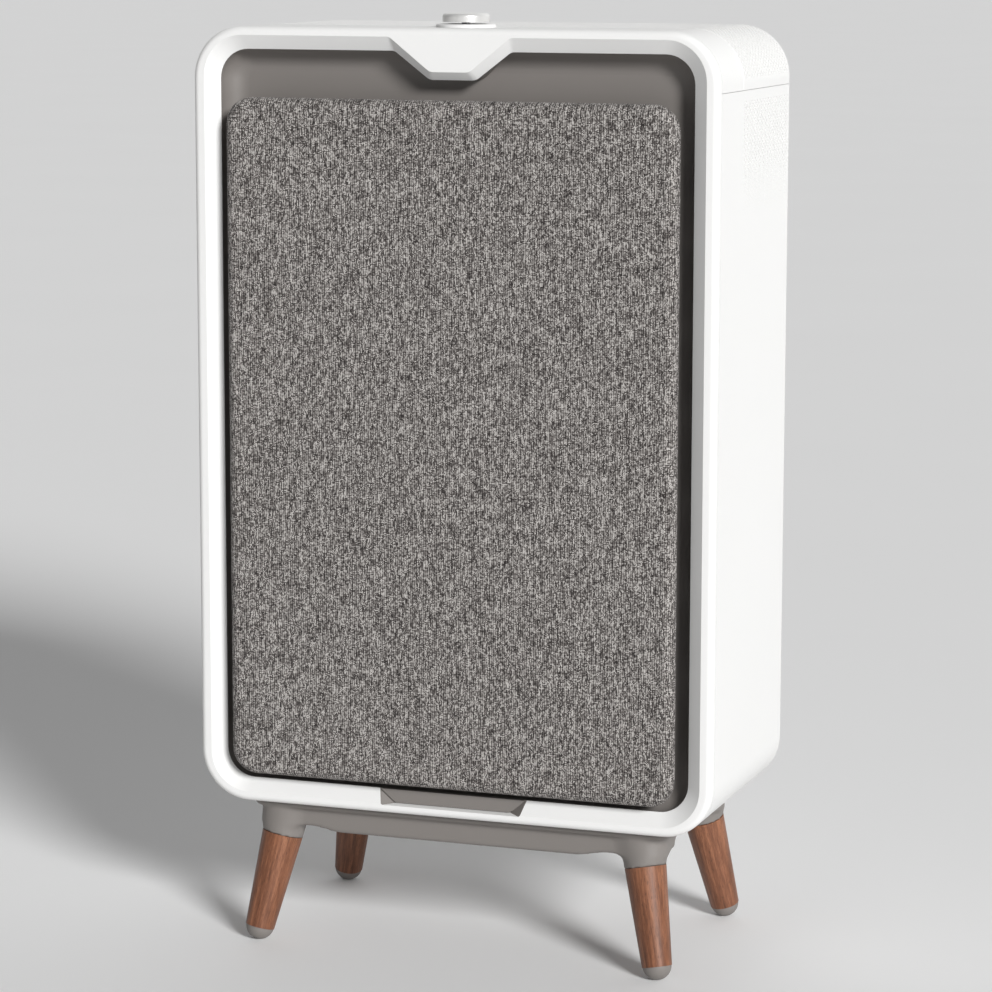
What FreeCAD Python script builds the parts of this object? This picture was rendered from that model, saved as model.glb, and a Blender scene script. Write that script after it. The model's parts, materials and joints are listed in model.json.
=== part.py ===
"""Floor-standing air purifier: a white shell on four splayed wooden legs, with a fabric front panel.

Row frame: origin on the floor under the middle of the shell, front facing -Y, +Z up, +X to the right
when the purifier is seen from the front. Every length is in millimetres.
"""

import FreeCAD, Part
import math
import os

V = FreeCAD.Vector

# ---------------------------------------------------------------- driving dimensions
DEPTH = 209.6                       # front panel face to the top of the rear bulge
HALF_WIDTH = 184.0                  # outside of the shell
SHELL_LOW, SHELL_HIGH = 100.0, 632.0
SHELL_RADIUS = 35.0
WALL = 2.8

PANEL_PROUD = 8.4                   # fabric panel stands in front of the bezel
BEZEL_Y = -DEPTH / 2 + PANEL_PROUD  # flat front rim of the bezel
BEZEL_DEPTH = 6.6
HOUSING_Y = BEZEL_Y + 7.3           # front edge of the top cover and side shell
SHELL_BACK_Y = BEZEL_Y + 184.0      # flat back of the shell
REAR_Y = DEPTH / 2                  # top of the rear bulge
SEAM_Z = 592.0                      # joint line between top cover and side shell
SEAM_GAP = 0.3

RIM_SIDE, RIM_TOP, RIM_BOTTOM = 8.25, 5.8, 6.6      # flat rim widths round the opening
OPEN_HALF = 166.15                                  # bezel opening at its inner edge
OPEN_LOW, OPEN_HIGH = 116.1, 616.8
OPEN_RADIUS, RIM_RADIUS = 20.0, 27.5
TAB_FRONT, TAB_BACK = (42.4, 13.7, 603.4), (41.0, 16.2, 598.0)        # root half, tip half, tip height
NOTCH_FRONT, NOTCH_BACK = (50.2, 49.2, 105.9), (52.4, 41.4, 106.7)    # top half, foot half, foot height
SKIRT_INSET, SKIRT_WALL, SKIRT_BACK_Y = 3.1, 2.0, BEZEL_Y + 12.0      # bezel lip that enters the housing

COVER_STEP = (158.0, 126.0, 606.0, 20.0)                              # seat of the rear cover in the shell
REAR_SCREW_X, REAR_SCREW_ZS = 152.6, (148.0, 366.0, 584.0)
GRIP_HALF, GRIP_LOW, GRIP_HIGH, GRIP_FLOOR_Y = 60.0, 512.0, 562.0, BEZEL_Y + 172.0
POWER_X, POWER_Z, POWER_HALF_W, POWER_HALF_H = 118.0, 150.0, 13.0, 8.5

TRAY_FLOOR_Y = BEZEL_Y + 21.1
TRAY_BACK_Y = TRAY_FLOOR_Y + 2.5
COVE_RADIUS = 14.4
WINDOW_HALF, WINDOW_LOW, WINDOW_HIGH = 143.0, 134.0, 572.0
WINDOW_MID_Z = (WINDOW_LOW + WINDOW_HIGH) / 2
CATCH_X, CATCH_ZS, CATCH_RADIUS, MAGNET_RADIUS = 147.4, (190.0, 516.0), 3.6, 3.2
PLUNGER_X, PLUNGER_Z, PLUNGER_RADIUS = 149.0, 353.0, 1.9

PANEL_HALF, PANEL_LOW, PANEL_HIGH, PANEL_RADIUS = 158.6, 121.0, 585.0, 18.0
FABRIC_THICKNESS = 2.4
FABRIC_BACK_Y = BEZEL_Y + 1.0
PANEL_BACK_Y = TRAY_FLOOR_Y - 0.9
PANEL_BACK_INSET, PANEL_WALL = 7.2, 2.8             # the panel's frame is narrower behind the fabric

FILTER_FRONT_Y = BEZEL_Y + 25.0
FILTER_BACK_Y = BEZEL_Y + 66.0
FILTER_HALF, FILTER_LOW, FILTER_HIGH = 141.4, 135.6, 570.4
PLEAT_COUNT, PAPER_THICKNESS = 34, 1.0
BAY_BACK_Y = BEZEL_Y + 70.0

FAN_Z = 330.0
SCROLL_RADIUS, SCROLL_BACK_Y = 152.0, BEZEL_Y + 150.0
INLET_RADIUS = 96.0
IMPELLER_RADIUS, IMPELLER_FRONT_Y, IMPELLER_BACK_Y = 112.0, BEZEL_Y + 76.0, BEZEL_Y + 138.5
BLADE_COUNT = 36
SHAFT_RADIUS, BEARING_CLEARANCE, BEARING_RADIUS = 4.0, 0.03, 8.0
MOTOR_RADIUS, MOTOR_FRONT_Y, MOTOR_BACK_Y = 44.0, BEZEL_Y + 141.0, BEZEL_Y + 172.0
ROTOR_RADIUS, ROTOR_INSET, POLE_COUNT = 19.7, 7.0, 9
MOUNT_RADIUS, MOUNT_HOLE = 60.0, 2.1

CASE_X0, CASE_X1, CASE_Y0, CASE_Y1 = -150.0, -10.0, BEZEL_Y + 80.0, BEZEL_Y + 160.0
CASE_LOW, CASE_HIGH, CASE_WALL = 108.0, 148.0, 2.0
DISPLAY_LOW, DISPLAY_HIGH = 612.0, 613.6            # board that carries the knob's encoder

KNOB_Y = BEZEL_Y + 32.6
KNOB_RADIUS, KNOB_LOW, KNOB_HIGH = 15.7, 634.5, 641.35
TRIM_RADIUS, TRIM_HIGH = 20.0, 634.2
SPINDLE_RADIUS = 3.0

BASE_MID_Y = BEZEL_Y + 92.3
LIP_HALF_WIDTH, LIP_HALF_DEPTH, LIP_RADIUS = 151.5, 84.3, 13.0
BEAM_LOW, BEAM_HIGH, BEAM_INSET = 79.5, 94.2, 5.2
POCKET_TOP, BEAM_WALL = 96.5, 6.0
SIDE_ARCH_TOP, SIDE_ARCH_HALF = 89.0, 48.0           # side rails are shallow between the sockets
SPLAY_X, SPLAY_Y = 13.4 / 69.5, 13.6 / 69.5         # outward travel of a leg per mm down
LEG_TOP_Z, LEG_TIP_Z, FOOT_SPHERE_Z = 73.5, 8.9, 9.6
LEG_TOP_X, LEG_TOP_HALF_Y = 132.3, 70.3             # leg axis at its top, from the base's middle
LEG_TOP_RADIUS, LEG_TIP_RADIUS, FOOT_RADIUS = 14.2, 10.2, 9.9
LEG_BORE_RADIUS = 3.0


# ---------------------------------------------------------------- shape helpers
def box(x0, x1, y0, y1, z0, z1):
    """Block between two opposite corners."""
    return Part.makeBox(x1 - x0, y1 - y0, z1 - z0, V(x0, y0, z0))


def mid_box(x, y, z, width, depth, height):
    """Block centred on a point."""
    return box(x - width / 2, x + width / 2, y - depth / 2, y + depth / 2, z - height / 2, z + height / 2)


def rod_y(radius, x, z, y0, y1):
    """Round bar along Y."""
    return Part.makeCylinder(radius, y1 - y0, V(x, y0, z), V(0, 1, 0))


def rod_z(radius, x, y, z0, z1):
    """Round bar along Z."""
    return Part.makeCylinder(radius, z1 - z0, V(x, y, z0), V(0, 0, 1))


def tube_y(outer, inner, x, z, y0, y1):
    """Round tube along Y."""
    return rod_y(outer, x, z, y0, y1).cut(rod_y(inner, x, z, y0 - 1, y1 + 1))


def fused(shapes):
    """One shape from several, with leftover seams removed."""
    result = shapes[0]
    for shape in shapes[1:]:
        result = result.fuse(shape)
    return result.removeSplitter()


def group(shapes):
    """Separate solids kept together in one node."""
    return Part.Compound([solid for shape in shapes for solid in shape.Solids])


def outline(corners, y):
    """Closed wire in the plane at y: corners are (x, z, radius), each rounded by an arc."""
    edges = []
    ends = []
    for index, (x, z, radius) in enumerate(corners):
        point = V(x, y, z)
        before, after = corners[index - 1], corners[(index + 1) % len(corners)]
        to_before = (V(before[0], y, before[1]) - point).normalize()
        to_after = (V(after[0], y, after[1]) - point).normalize()
        half_angle = to_before.getAngle(to_after) / 2
        reach = radius / math.tan(half_angle)
        start, end = point + to_before * reach, point + to_after * reach
        inward = (to_before + to_after).normalize()
        middle = point + inward * (radius / math.sin(half_angle) - radius)
        ends.append((start, end))
        edges.append(Part.Arc(start, middle, end).toShape())
    wire = []
    for index, arc in enumerate(edges):
        wire.append(arc)
        wire.append(Part.makeLine(ends[index][1], ends[(index + 1) % len(ends)][0]))
    return Part.Wire(wire)


def rectangle(half_width, low, high, radius):
    """Corners of an upright rounded rectangle centred on x = 0."""
    return [(-half_width, low, radius), (half_width, low, radius),
            (half_width, high, radius), (-half_width, high, radius)]


def slab(corners, y0, y1):
    """Rounded outline pushed back from y0 to y1."""
    return Part.Face(outline(corners, y0)).extrude(V(0, y1 - y0, 0))


def frustum(front, y0, back, y1):
    """Solid between two outlines that have the same number of corners."""
    return Part.makeLoft([outline(front, y0), outline(back, y1)], True, True)


def round_edges(shape, radius, y):
    """Round every edge of a shape that lies in the plane at y."""
    edges = [edge for edge in shape.Edges
             if abs(edge.BoundBox.YMin - y) < 1e-4 and abs(edge.BoundBox.YMax - y) < 1e-4]
    return shape.makeFillet(radius, edges)


def grid_places(columns, rows, pitch_x, pitch_z):
    """Centres of a grid of openings set round the middle of the filter window."""
    return [((column - (columns - 1) / 2) * pitch_x, WINDOW_MID_Z + (row - (rows - 1) / 2) * pitch_z)
            for column in range(columns) for row in range(rows)]


def pan_head_screw(x, z, y_seat, length, head_radius, shank_radius):
    """Screw driven forward into the back: its head sits behind y_seat."""
    head = round_edges(rod_y(head_radius, x, z, y_seat, y_seat + 1.6), 0.8, y_seat + 1.6)
    slot = mid_box(x, y_seat + 1.6, z, head_radius * 1.2, 1.0, 0.7)
    cross = mid_box(x, y_seat + 1.6, z, 0.7, 1.0, head_radius * 1.2)
    return head.fuse(rod_y(shank_radius, x, z, y_seat - length, y_seat)).cut(slot).cut(cross)


# ---------------------------------------------------------------- white shell
def tab_corners(tab, top_z):
    """Right-to-left corners of the tab that hangs from the top of the opening."""
    root_half, tip_half, tip_z = tab
    return [(root_half, top_z, 6.0), (tip_half, tip_z, 8.0),
            (-tip_half, tip_z, 8.0), (-root_half, top_z, 6.0)]


def opening_corners(half, low, high, radius, tab, notch, notch_radius):
    """Bezel opening: a rounded rectangle with a tab at the top and a notch at the bottom."""
    top_half, foot_half, foot_z = notch
    return ([(-half, low, radius), (-top_half, low, notch_radius), (-foot_half, foot_z, notch_radius),
             (foot_half, foot_z, notch_radius), (top_half, low, notch_radius), (half, low, radius),
             (half, high, radius)] + tab_corners(tab, high) + [(-half, high, radius)])


def inset_shell(inset):
    """Corners of the shell's outline, drawn inward by inset."""
    return rectangle(HALF_WIDTH - inset, SHELL_LOW + inset, SHELL_HIGH - inset, SHELL_RADIUS - inset)


def front_bezel():
    """White ring round the tray, with a chamfered opening and a skirt that enters the housing."""
    ring = slab(inset_shell(0.0), BEZEL_Y, BEZEL_Y + BEZEL_DEPTH)
    ring = round_edges(ring, 4.4, BEZEL_Y)
    front = opening_corners(HALF_WIDTH - RIM_SIDE, SHELL_LOW + RIM_BOTTOM, SHELL_HIGH - RIM_TOP, RIM_RADIUS,
                            TAB_FRONT, NOTCH_FRONT, 0.4)
    back = opening_corners(OPEN_HALF, OPEN_LOW, OPEN_HIGH, OPEN_RADIUS, TAB_BACK, NOTCH_BACK, 3.0)
    skirt = slab(inset_shell(SKIRT_INSET), BEZEL_Y + BEZEL_DEPTH - 0.5, SKIRT_BACK_Y)
    hollow = slab(inset_shell(SKIRT_INSET + SKIRT_WALL), BEZEL_Y + BEZEL_DEPTH, SKIRT_BACK_Y + 1)
    return fused([ring, skirt.cut(hollow)]).cut(frustum(front, BEZEL_Y, back, BEZEL_Y + BEZEL_DEPTH))


def notch_plate():
    """Blank grey plate that fills the notch at the bottom of the bezel."""
    corners = [(-52.0, OPEN_LOW, 0.3), (-41.2, 107.0, 2.9), (41.2, 107.0, 2.9), (52.0, OPEN_LOW, 0.3)]
    return slab(corners, BEZEL_Y + 4.9, BEZEL_Y + BEZEL_DEPTH)


def shell_shape():
    """Housing wall with its folded-in back, before it is split at the seam."""
    outer = round_edges(slab(inset_shell(0.0), HOUSING_Y, SHELL_BACK_Y), 11.0, SHELL_BACK_Y)
    inner = round_edges(slab(inset_shell(WALL), HOUSING_Y - 1, SHELL_BACK_Y - 5.6), 7.0, SHELL_BACK_Y - 5.6)
    step = slab(rectangle(*COVER_STEP), SHELL_BACK_Y - 3.0, SHELL_BACK_Y + 1)
    through = slab(rectangle(146.0, 138.0, 594.6, 12.0), SHELL_BACK_Y - 20, SHELL_BACK_Y + 1)
    return outer.cut(inner).cut(step).cut(through)


def top_cover(shell):
    """Upper part of the housing, above the seam, with the hole for the knob."""
    above = box(-200, 200, -120, 120, SEAM_Z + SEAM_GAP / 2, 700)
    return shell.common(above).cut(rod_z(SPINDLE_RADIUS + 3.0, 0, KNOB_Y, 600, 700))


def side_shell(shell):
    """Both sides and the bottom of the housing, one wrapped piece."""
    below = box(-200, 200, -120, 120, 0, SEAM_Z - SEAM_GAP / 2)
    holes = [rod_z(1.6, x, y, 90, 110) for x, y in base_screw_places()]
    holes += [rod_y(1.6, x, z, SHELL_BACK_Y - 8, SHELL_BACK_Y) for x, z in rear_screw_places()]
    result = shell.common(below)
    for hole in holes:
        result = result.cut(hole)
    return result


# ---------------------------------------------------------------- rear cover
def rear_screw_places():
    """Six screws down the two edges of the rear cover."""
    return [(side * REAR_SCREW_X, z) for side in (-1, 1) for z in REAR_SCREW_ZS]



def rear_cover():
    """Back panel with a shallow bulge, a grip opening, a power inlet opening and cooling slots."""
    plate = slab(rectangle(157.8, 126.2, 605.8, 19.8), SHELL_BACK_Y - 3.0, SHELL_BACK_Y)
    bulge = frustum(rectangle(146.0, 176.0, 594.0, 24.0), SHELL_BACK_Y,
                    rectangle(126.0, 198.0, 576.0, 20.0), REAR_Y)
    bulge = round_edges(bulge, 5.0, REAR_Y)
    hollow = frustum(rectangle(143.0, 179.0, 591.0, 21.0), SHELL_BACK_Y - 4,
                     rectangle(124.0, 200.0, 574.0, 18.0), REAR_Y - 2.6)
    cover = fused([plate, bulge]).cut(hollow)
    cover = cover.cut(box(-GRIP_HALF, GRIP_HALF, SHELL_BACK_Y - 10, REAR_Y + 5, GRIP_LOW, GRIP_HIGH))
    cover = cover.cut(mid_box(POWER_X, SHELL_BACK_Y, POWER_Z, 2 * POWER_HALF_W, 20, 2 * POWER_HALF_H))
    for x, z in rear_screw_places():
        cover = cover.cut(rod_y(1.7, x, z, SHELL_BACK_Y - 10, SHELL_BACK_Y + 1))
    for row in range(9):
        for side in (-1, 1):
            cover = cover.cut(mid_box(side * 42.0, REAR_Y, 222.0 + 8.0 * row, 70.0, 12.0, 3.0))
    return cover


def rear_screws():
    """Six pan-head screws that hold the rear cover."""
    return group([pan_head_screw(x, z, SHELL_BACK_Y, 5.4, 3.1, 1.6) for x, z in rear_screw_places()])


def handle_cup():
    """Pocket that the fingers enter to lift the purifier, closed at its front."""
    middle_z, height = (GRIP_LOW + GRIP_HIGH) / 2, GRIP_HIGH - GRIP_LOW
    depth = REAR_Y - 0.4 - GRIP_FLOOR_Y
    outer = mid_box(0, GRIP_FLOOR_Y + depth / 2, middle_z, 2 * GRIP_HALF - 0.2, depth, height - 0.2)
    pocket = mid_box(0, GRIP_FLOOR_Y + 2 + depth / 2, middle_z, 2 * GRIP_HALF - 4.2, depth, height - 4.2)
    return outer.cut(pocket)


# ---------------------------------------------------------------- front tray and filter bay
def boss_corners():
    """Trapezoid that carries the bezel's tab down to the tray floor."""
    root_half, tip_half, tip_z = TAB_BACK
    return [(-root_half, OPEN_HIGH + 4, 2.0), (-tip_half, tip_z, 8.0),
            (tip_half, tip_z, 8.0), (root_half, OPEN_HIGH + 4, 2.0)]


def catch_places():
    """Four spots on the tray floor, beside the window, where the panel's magnets meet steel discs."""
    return [(side * CATCH_X, z) for side in (-1, 1) for z in CATCH_ZS]


def front_tray():
    """Taupe dish behind the bezel, coved round its edge, with the filter window in its floor."""
    tray = slab(rectangle(176.0, 108.0, 624.0, 27.0), BEZEL_Y + BEZEL_DEPTH, TRAY_BACK_Y)
    dish = slab(rectangle(OPEN_HALF, OPEN_LOW, OPEN_HIGH, OPEN_RADIUS), BEZEL_Y, TRAY_FLOOR_Y)
    dish = round_edges(dish, COVE_RADIUS, TRAY_FLOOR_Y)
    window = slab(rectangle(WINDOW_HALF, WINDOW_LOW, WINDOW_HIGH, 4.0), BEZEL_Y, TRAY_BACK_Y + 1)
    boss = slab(boss_corners(), BEZEL_Y + BEZEL_DEPTH, TRAY_BACK_Y - 1)
    tray = fused([tray.cut(dish), boss]).cut(window)
    for x, z in catch_places():
        tray = tray.cut(rod_y(CATCH_RADIUS, x, z, TRAY_FLOOR_Y - 1.0, TRAY_FLOOR_Y + 1.0))
    return tray.cut(rod_y(PLUNGER_RADIUS + 0.3, PLUNGER_X, PLUNGER_Z, BEZEL_Y, TRAY_BACK_Y + 1))


def catch_plates():
    """Steel discs let into the tray floor for the panel's magnets."""
    return group([rod_y(CATCH_RADIUS, x, z, TRAY_FLOOR_Y, TRAY_FLOOR_Y + 1.0) for x, z in catch_places()])


def filter_bay():
    """Four walls behind the tray that guide the filters."""
    walls = box(-WINDOW_HALF - 2.2, WINDOW_HALF + 2.2, TRAY_BACK_Y, BAY_BACK_Y,
                WINDOW_LOW - 2.2, WINDOW_HIGH + 2.2)
    passage = box(-WINDOW_HALF, WINDOW_HALF, TRAY_BACK_Y - 1, BAY_BACK_Y + 1, WINDOW_LOW, WINDOW_HIGH)
    return walls.cut(passage)


def bay_grid():
    """Grid across the back of the bay that the filter rests against."""
    grid = box(-WINDOW_HALF, WINDOW_HALF, BAY_BACK_Y - 3, BAY_BACK_Y, WINDOW_LOW, WINDOW_HIGH)
    for x, z in grid_places(8, 8, 35.0, 54.0):
        grid = grid.cut(mid_box(x, BAY_BACK_Y - 1, z, 32.0, 8.0, 51.0))
    return grid


def interlock_switch():
    """Small switch behind the tray that stops the fan while the panel is off."""
    body = mid_box(PLUNGER_X + 1.5, TRAY_BACK_Y + 8.5, PLUNGER_Z, 10.0, 13.0, 20.0)
    bore = rod_y(PLUNGER_RADIUS + 0.3, PLUNGER_X, PLUNGER_Z, TRAY_BACK_Y - 2, TRAY_BACK_Y + 9)
    blades = [mid_box(PLUNGER_X + 1.5, TRAY_BACK_Y + 17.5, PLUNGER_Z + dz, 0.8, 5.2, 3.0)
              for dz in (-6.0, 6.0)]
    return fused([body.cut(bore)] + blades)


def interlock_plunger():
    """Pin that the panel holds in, free in the tray's hole."""
    pin = rod_y(PLUNGER_RADIUS, PLUNGER_X, PLUNGER_Z, PANEL_BACK_Y + 0.1, TRAY_BACK_Y + 7.5)
    return round_edges(pin, 0.8, PANEL_BACK_Y + 0.1)


# ---------------------------------------------------------------- front panel
def inset_panel(inset):
    """Corners of the panel's outline, drawn inward by inset."""
    return rectangle(PANEL_HALF - inset, PANEL_LOW + inset, PANEL_HIGH - inset, PANEL_RADIUS - inset)


def panel_fabric():
    """Fabric stretched over the panel's front and round its edge."""
    outer = round_edges(slab(inset_panel(0.0), -DEPTH / 2, FABRIC_BACK_Y), 8.0, -DEPTH / 2)
    inner = slab(inset_panel(FABRIC_THICKNESS), -DEPTH / 2 + FABRIC_THICKNESS, FABRIC_BACK_Y + 1)
    return outer.cut(round_edges(inner, 5.6, -DEPTH / 2 + FABRIC_THICKNESS))


def panel_frame():
    """Grille frame inside the fabric: open bars at the front and side air slots behind."""
    inset = FABRIC_THICKNESS + 0.1
    front_y = -DEPTH / 2 + inset
    front = slab(inset_panel(inset), front_y, BEZEL_Y + 3.0)
    front = round_edges(front, 5.5, front_y)
    back = slab(inset_panel(PANEL_BACK_INSET), BEZEL_Y + 2.0, PANEL_BACK_Y)
    frame = fused([front, back])
    hollow = slab(inset_panel(PANEL_BACK_INSET + PANEL_WALL), front_y + 2.4, PANEL_BACK_Y + 1)
    frame = frame.cut(hollow)
    for x, z in grid_places(8, 8, 36.0, 52.0):
        frame = frame.cut(mid_box(x, front_y + 2, z, 32.0, 12.0, 48.0))
    for _, z in grid_places(1, 7, 0.0, 58.0):
        frame = frame.cut(mid_box(0, BEZEL_Y + 10.0, z, 400.0, 9.0, 44.0))
    posts = [rod_y(4.6, x, z, front_y + 2.0, PANEL_BACK_Y) for x, z in catch_places()]
    push_pad = mid_box(PLUNGER_X - 1.0, PANEL_BACK_Y - 2.0, PLUNGER_Z, 9.0, 4.0, 18.0)
    frame = fused([frame] + posts + [push_pad])
    for x, z in catch_places():
        frame = frame.cut(rod_y(MAGNET_RADIUS, x, z, PANEL_BACK_Y - 3.0, PANEL_BACK_Y + 1))
    return frame


def panel_magnets():
    """Four disc magnets pressed into the back of the panel's frame."""
    return group([rod_y(MAGNET_RADIUS, x, z, PANEL_BACK_Y - 3.0, PANEL_BACK_Y) for x, z in catch_places()])


# ---------------------------------------------------------------- filters
def filter_block(inset, y0, y1):
    """Block the size of the filter, drawn inward by inset."""
    return box(-FILTER_HALF + inset, FILTER_HALF - inset, y0, y1, FILTER_LOW + inset, FILTER_HIGH - inset)


def filter_frame():
    """Rigid frame round the filter media."""
    return filter_block(0.0, FILTER_FRONT_Y + 6.0, FILTER_BACK_Y).cut(
        filter_block(4.0, FILTER_FRONT_Y, FILTER_BACK_Y + 1))


def prefilter_frame():
    """Washable prefilter: a thin frame with crossing bars."""
    frame = filter_block(0.0, FILTER_FRONT_Y, FILTER_FRONT_Y + 5.8)
    for x, z in grid_places(5, 7, 54.0, 60.0):
        frame = frame.cut(mid_box(x, FILTER_FRONT_Y + 2.9, z, 50.0, 12.0, 56.0))
    return frame


def prefilter_mesh():
    """Fine mesh sheet held behind the prefilter's bars, drawn as one thin sheet per window."""
    return group([mid_box(x, FILTER_FRONT_Y + 3.0, z, 50.0, 0.6, 56.0)
                  for x, z in grid_places(5, 7, 54.0, 60.0)])


def carbon_layer():
    """Carbon honeycomb layer at the front of the filter frame."""
    return filter_block(4.0, FILTER_FRONT_Y + 6.2, FILTER_FRONT_Y + 13.0)


def pleat_pack():
    """Pleated paper: one folded strip with its zigzag seen from above."""
    front_y, back_y = FILTER_FRONT_Y + 13.4, FILTER_BACK_Y - 0.6
    span = 2 * (FILTER_HALF - 4.3)
    near, far = [], []
    for index in range(2 * PLEAT_COUNT + 1):
        x = -span / 2 + index * span / (2 * PLEAT_COUNT)
        y = back_y if index % 2 else front_y
        near.append(V(x, y - (PAPER_THICKNESS if index % 2 else 0.0), FILTER_LOW + 4.2))
        far.append(V(x, y + (0.0 if index % 2 else PAPER_THICKNESS), FILTER_LOW + 4.2))
    loop = near + far[::-1]
    face = Part.Face(Part.makePolygon(loop + [loop[0]]))
    return face.extrude(V(0, 0, FILTER_HIGH - FILTER_LOW - 8.4))


def prefilter_tabs():
    """Two fabric pull tabs on the front of the prefilter."""
    y = FILTER_FRONT_Y - 0.5
    return group([mid_box(side * 70.0, y, 556.0, 22.0, 1.0, 26.0) for side in (-1, 1)])


# ---------------------------------------------------------------- fan
def scroll_block(radius, duct_x, front, back, flare_z, high):
    """Solid scroll: a drum with a duct that rises beside it and widens at the top."""
    return fused([rod_y(radius, 0, FAN_Z, front, back), box(-radius, duct_x, front, back, FAN_Z, high),
                  box(-radius, radius, front, back, flare_z, high)])


def fan_scroll():
    """Scroll housing round the impeller, open to the top."""
    front, back, wall = BAY_BACK_Y, SCROLL_BACK_Y, 2.2
    outer = scroll_block(SCROLL_RADIUS, 60.0, front, back, 540.0, 600.0)
    inner = scroll_block(SCROLL_RADIUS - wall, 60.0 - wall, front + wall, back - wall, 540.0 + wall, 601.0)
    inlet = rod_y(INLET_RADIUS, 0, FAN_Z, front - 1, front + 5)
    return outer.cut(inner).cut(inlet).cut(rod_y(52.0, 0, FAN_Z, back - 5, back + 5))


def inlet_ring():
    """Bell-mouthed ring that guides air into the impeller."""
    section = [(0.0, 0.0), (0.0, 5.0), (2.2, 5.0), (2.2, 2.5), (5.0, 0.0), (0.0, 0.0)]
    profile = Part.makePolygon([V(INLET_RADIUS - inward, BAY_BACK_Y + dy, FAN_Z) for inward, dy in section])
    return Part.Face(profile).revolve(V(0, BAY_BACK_Y, FAN_Z), V(0, 1, 0), 360)


def impeller():
    """Centrifugal wheel: back disc, hub, curved blades and a front ring."""
    disc = tube_y(IMPELLER_RADIUS, SHAFT_RADIUS, 0, FAN_Z, IMPELLER_BACK_Y - 2.5, IMPELLER_BACK_Y)
    hub = tube_y(13.0, SHAFT_RADIUS, 0, FAN_Z, IMPELLER_BACK_Y - 28.0, IMPELLER_BACK_Y)
    ring = tube_y(IMPELLER_RADIUS + 2, IMPELLER_RADIUS - 12, 0, FAN_Z,
                  IMPELLER_FRONT_Y, IMPELLER_FRONT_Y + 3)
    blades = []
    for index in range(BLADE_COUNT):
        blade = box(IMPELLER_RADIUS - 22, IMPELLER_RADIUS - 0.5, IMPELLER_FRONT_Y + 1, IMPELLER_BACK_Y - 1,
                    FAN_Z - 0.8, FAN_Z + 0.8)
        blade.rotate(V(IMPELLER_RADIUS - 11, 0, FAN_Z), V(0, 1, 0), 22)
        blade.rotate(V(0, 0, FAN_Z), V(0, 1, 0), 360.0 * index / BLADE_COUNT)
        blades.append(blade)
    return disc.multiFuse([hub, ring] + blades)


def rotor_shaft():
    """Steel shaft carried by the two motor bearings."""
    return rod_y(SHAFT_RADIUS, 0, FAN_Z, IMPELLER_BACK_Y - 32.0, MOTOR_BACK_Y)


def motor_rotor():
    """Magnet drum fixed to the shaft inside the motor."""
    return tube_y(ROTOR_RADIUS, SHAFT_RADIUS, 0, FAN_Z,
                  MOTOR_FRONT_Y + ROTOR_INSET, MOTOR_BACK_Y - ROTOR_INSET)


def motor_housing():
    """Round motor can with a bearing seat in each end."""
    can = rod_y(MOTOR_RADIUS, 0, FAN_Z, MOTOR_FRONT_Y, MOTOR_BACK_Y)
    can = can.cut(rod_y(MOTOR_RADIUS - 2.5, 0, FAN_Z, MOTOR_FRONT_Y + 2.5, MOTOR_BACK_Y - 2.5))
    return can.cut(rod_y(BEARING_RADIUS, 0, FAN_Z, MOTOR_FRONT_Y - 1, MOTOR_BACK_Y + 1))


def motor_stator():
    """Ring of wound poles round the rotor."""
    y0, y1 = MOTOR_FRONT_Y + ROTOR_INSET, MOTOR_BACK_Y - ROTOR_INSET
    bore = ROTOR_RADIUS + 0.7
    yoke = tube_y(MOTOR_RADIUS - 2.5, 34.0, 0, FAN_Z, y0, y1)
    poles = []
    for index in range(POLE_COUNT):
        pole = box(bore, 35.0, y0, y1, FAN_Z - 4.0, FAN_Z + 4.0)
        pole.rotate(V(0, 0, FAN_Z), V(0, 1, 0), 360.0 / POLE_COUNT * index)
        poles.append(pole)
    return yoke.multiFuse(poles).cut(rod_y(bore, 0, FAN_Z, y0 - 1, y1 + 1))


def motor_bearings():
    """Two ball bearings, drawn as plain rings with a running fit on the shaft."""
    bore = SHAFT_RADIUS + BEARING_CLEARANCE
    return group([tube_y(BEARING_RADIUS, bore, 0, FAN_Z, y, y + 5)
                  for y in (MOTOR_FRONT_Y, MOTOR_BACK_Y - 5)])


def mount_places():
    """Four fixing points of the motor bracket."""
    reach = MOUNT_RADIUS * math.cos(math.radians(45))
    return [(side * reach, FAN_Z + end * reach) for side in (-1, 1) for end in (-1, 1)]


def motor_bracket():
    """Plate that ties the motor to the back of the scroll."""
    plate = slab([(-58, FAN_Z - 58, 12), (58, FAN_Z - 58, 12), (58, FAN_Z + 58, 12), (-58, FAN_Z + 58, 12)],
                 SCROLL_BACK_Y + 2, SCROLL_BACK_Y + 4.5)
    plate = plate.cut(rod_y(MOTOR_RADIUS + 0.02, 0, FAN_Z, SCROLL_BACK_Y, SCROLL_BACK_Y + 6))
    for x, z in mount_places():
        plate = plate.cut(rod_y(MOUNT_HOLE, x, z, SCROLL_BACK_Y, SCROLL_BACK_Y + 6))
    return plate


def motor_grommets():
    """Four rubber washers between the bracket and the scroll."""
    return group([tube_y(6.0, MOUNT_HOLE, x, z, SCROLL_BACK_Y, SCROLL_BACK_Y + 2) for x, z in mount_places()])


def motor_screws():
    """Four screws through the bracket and its rubber washers."""
    return group([pan_head_screw(x, z, SCROLL_BACK_Y + 4.5, 4.5, 4.0, MOUNT_HOLE - 0.05)
                  for x, z in mount_places()])


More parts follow.
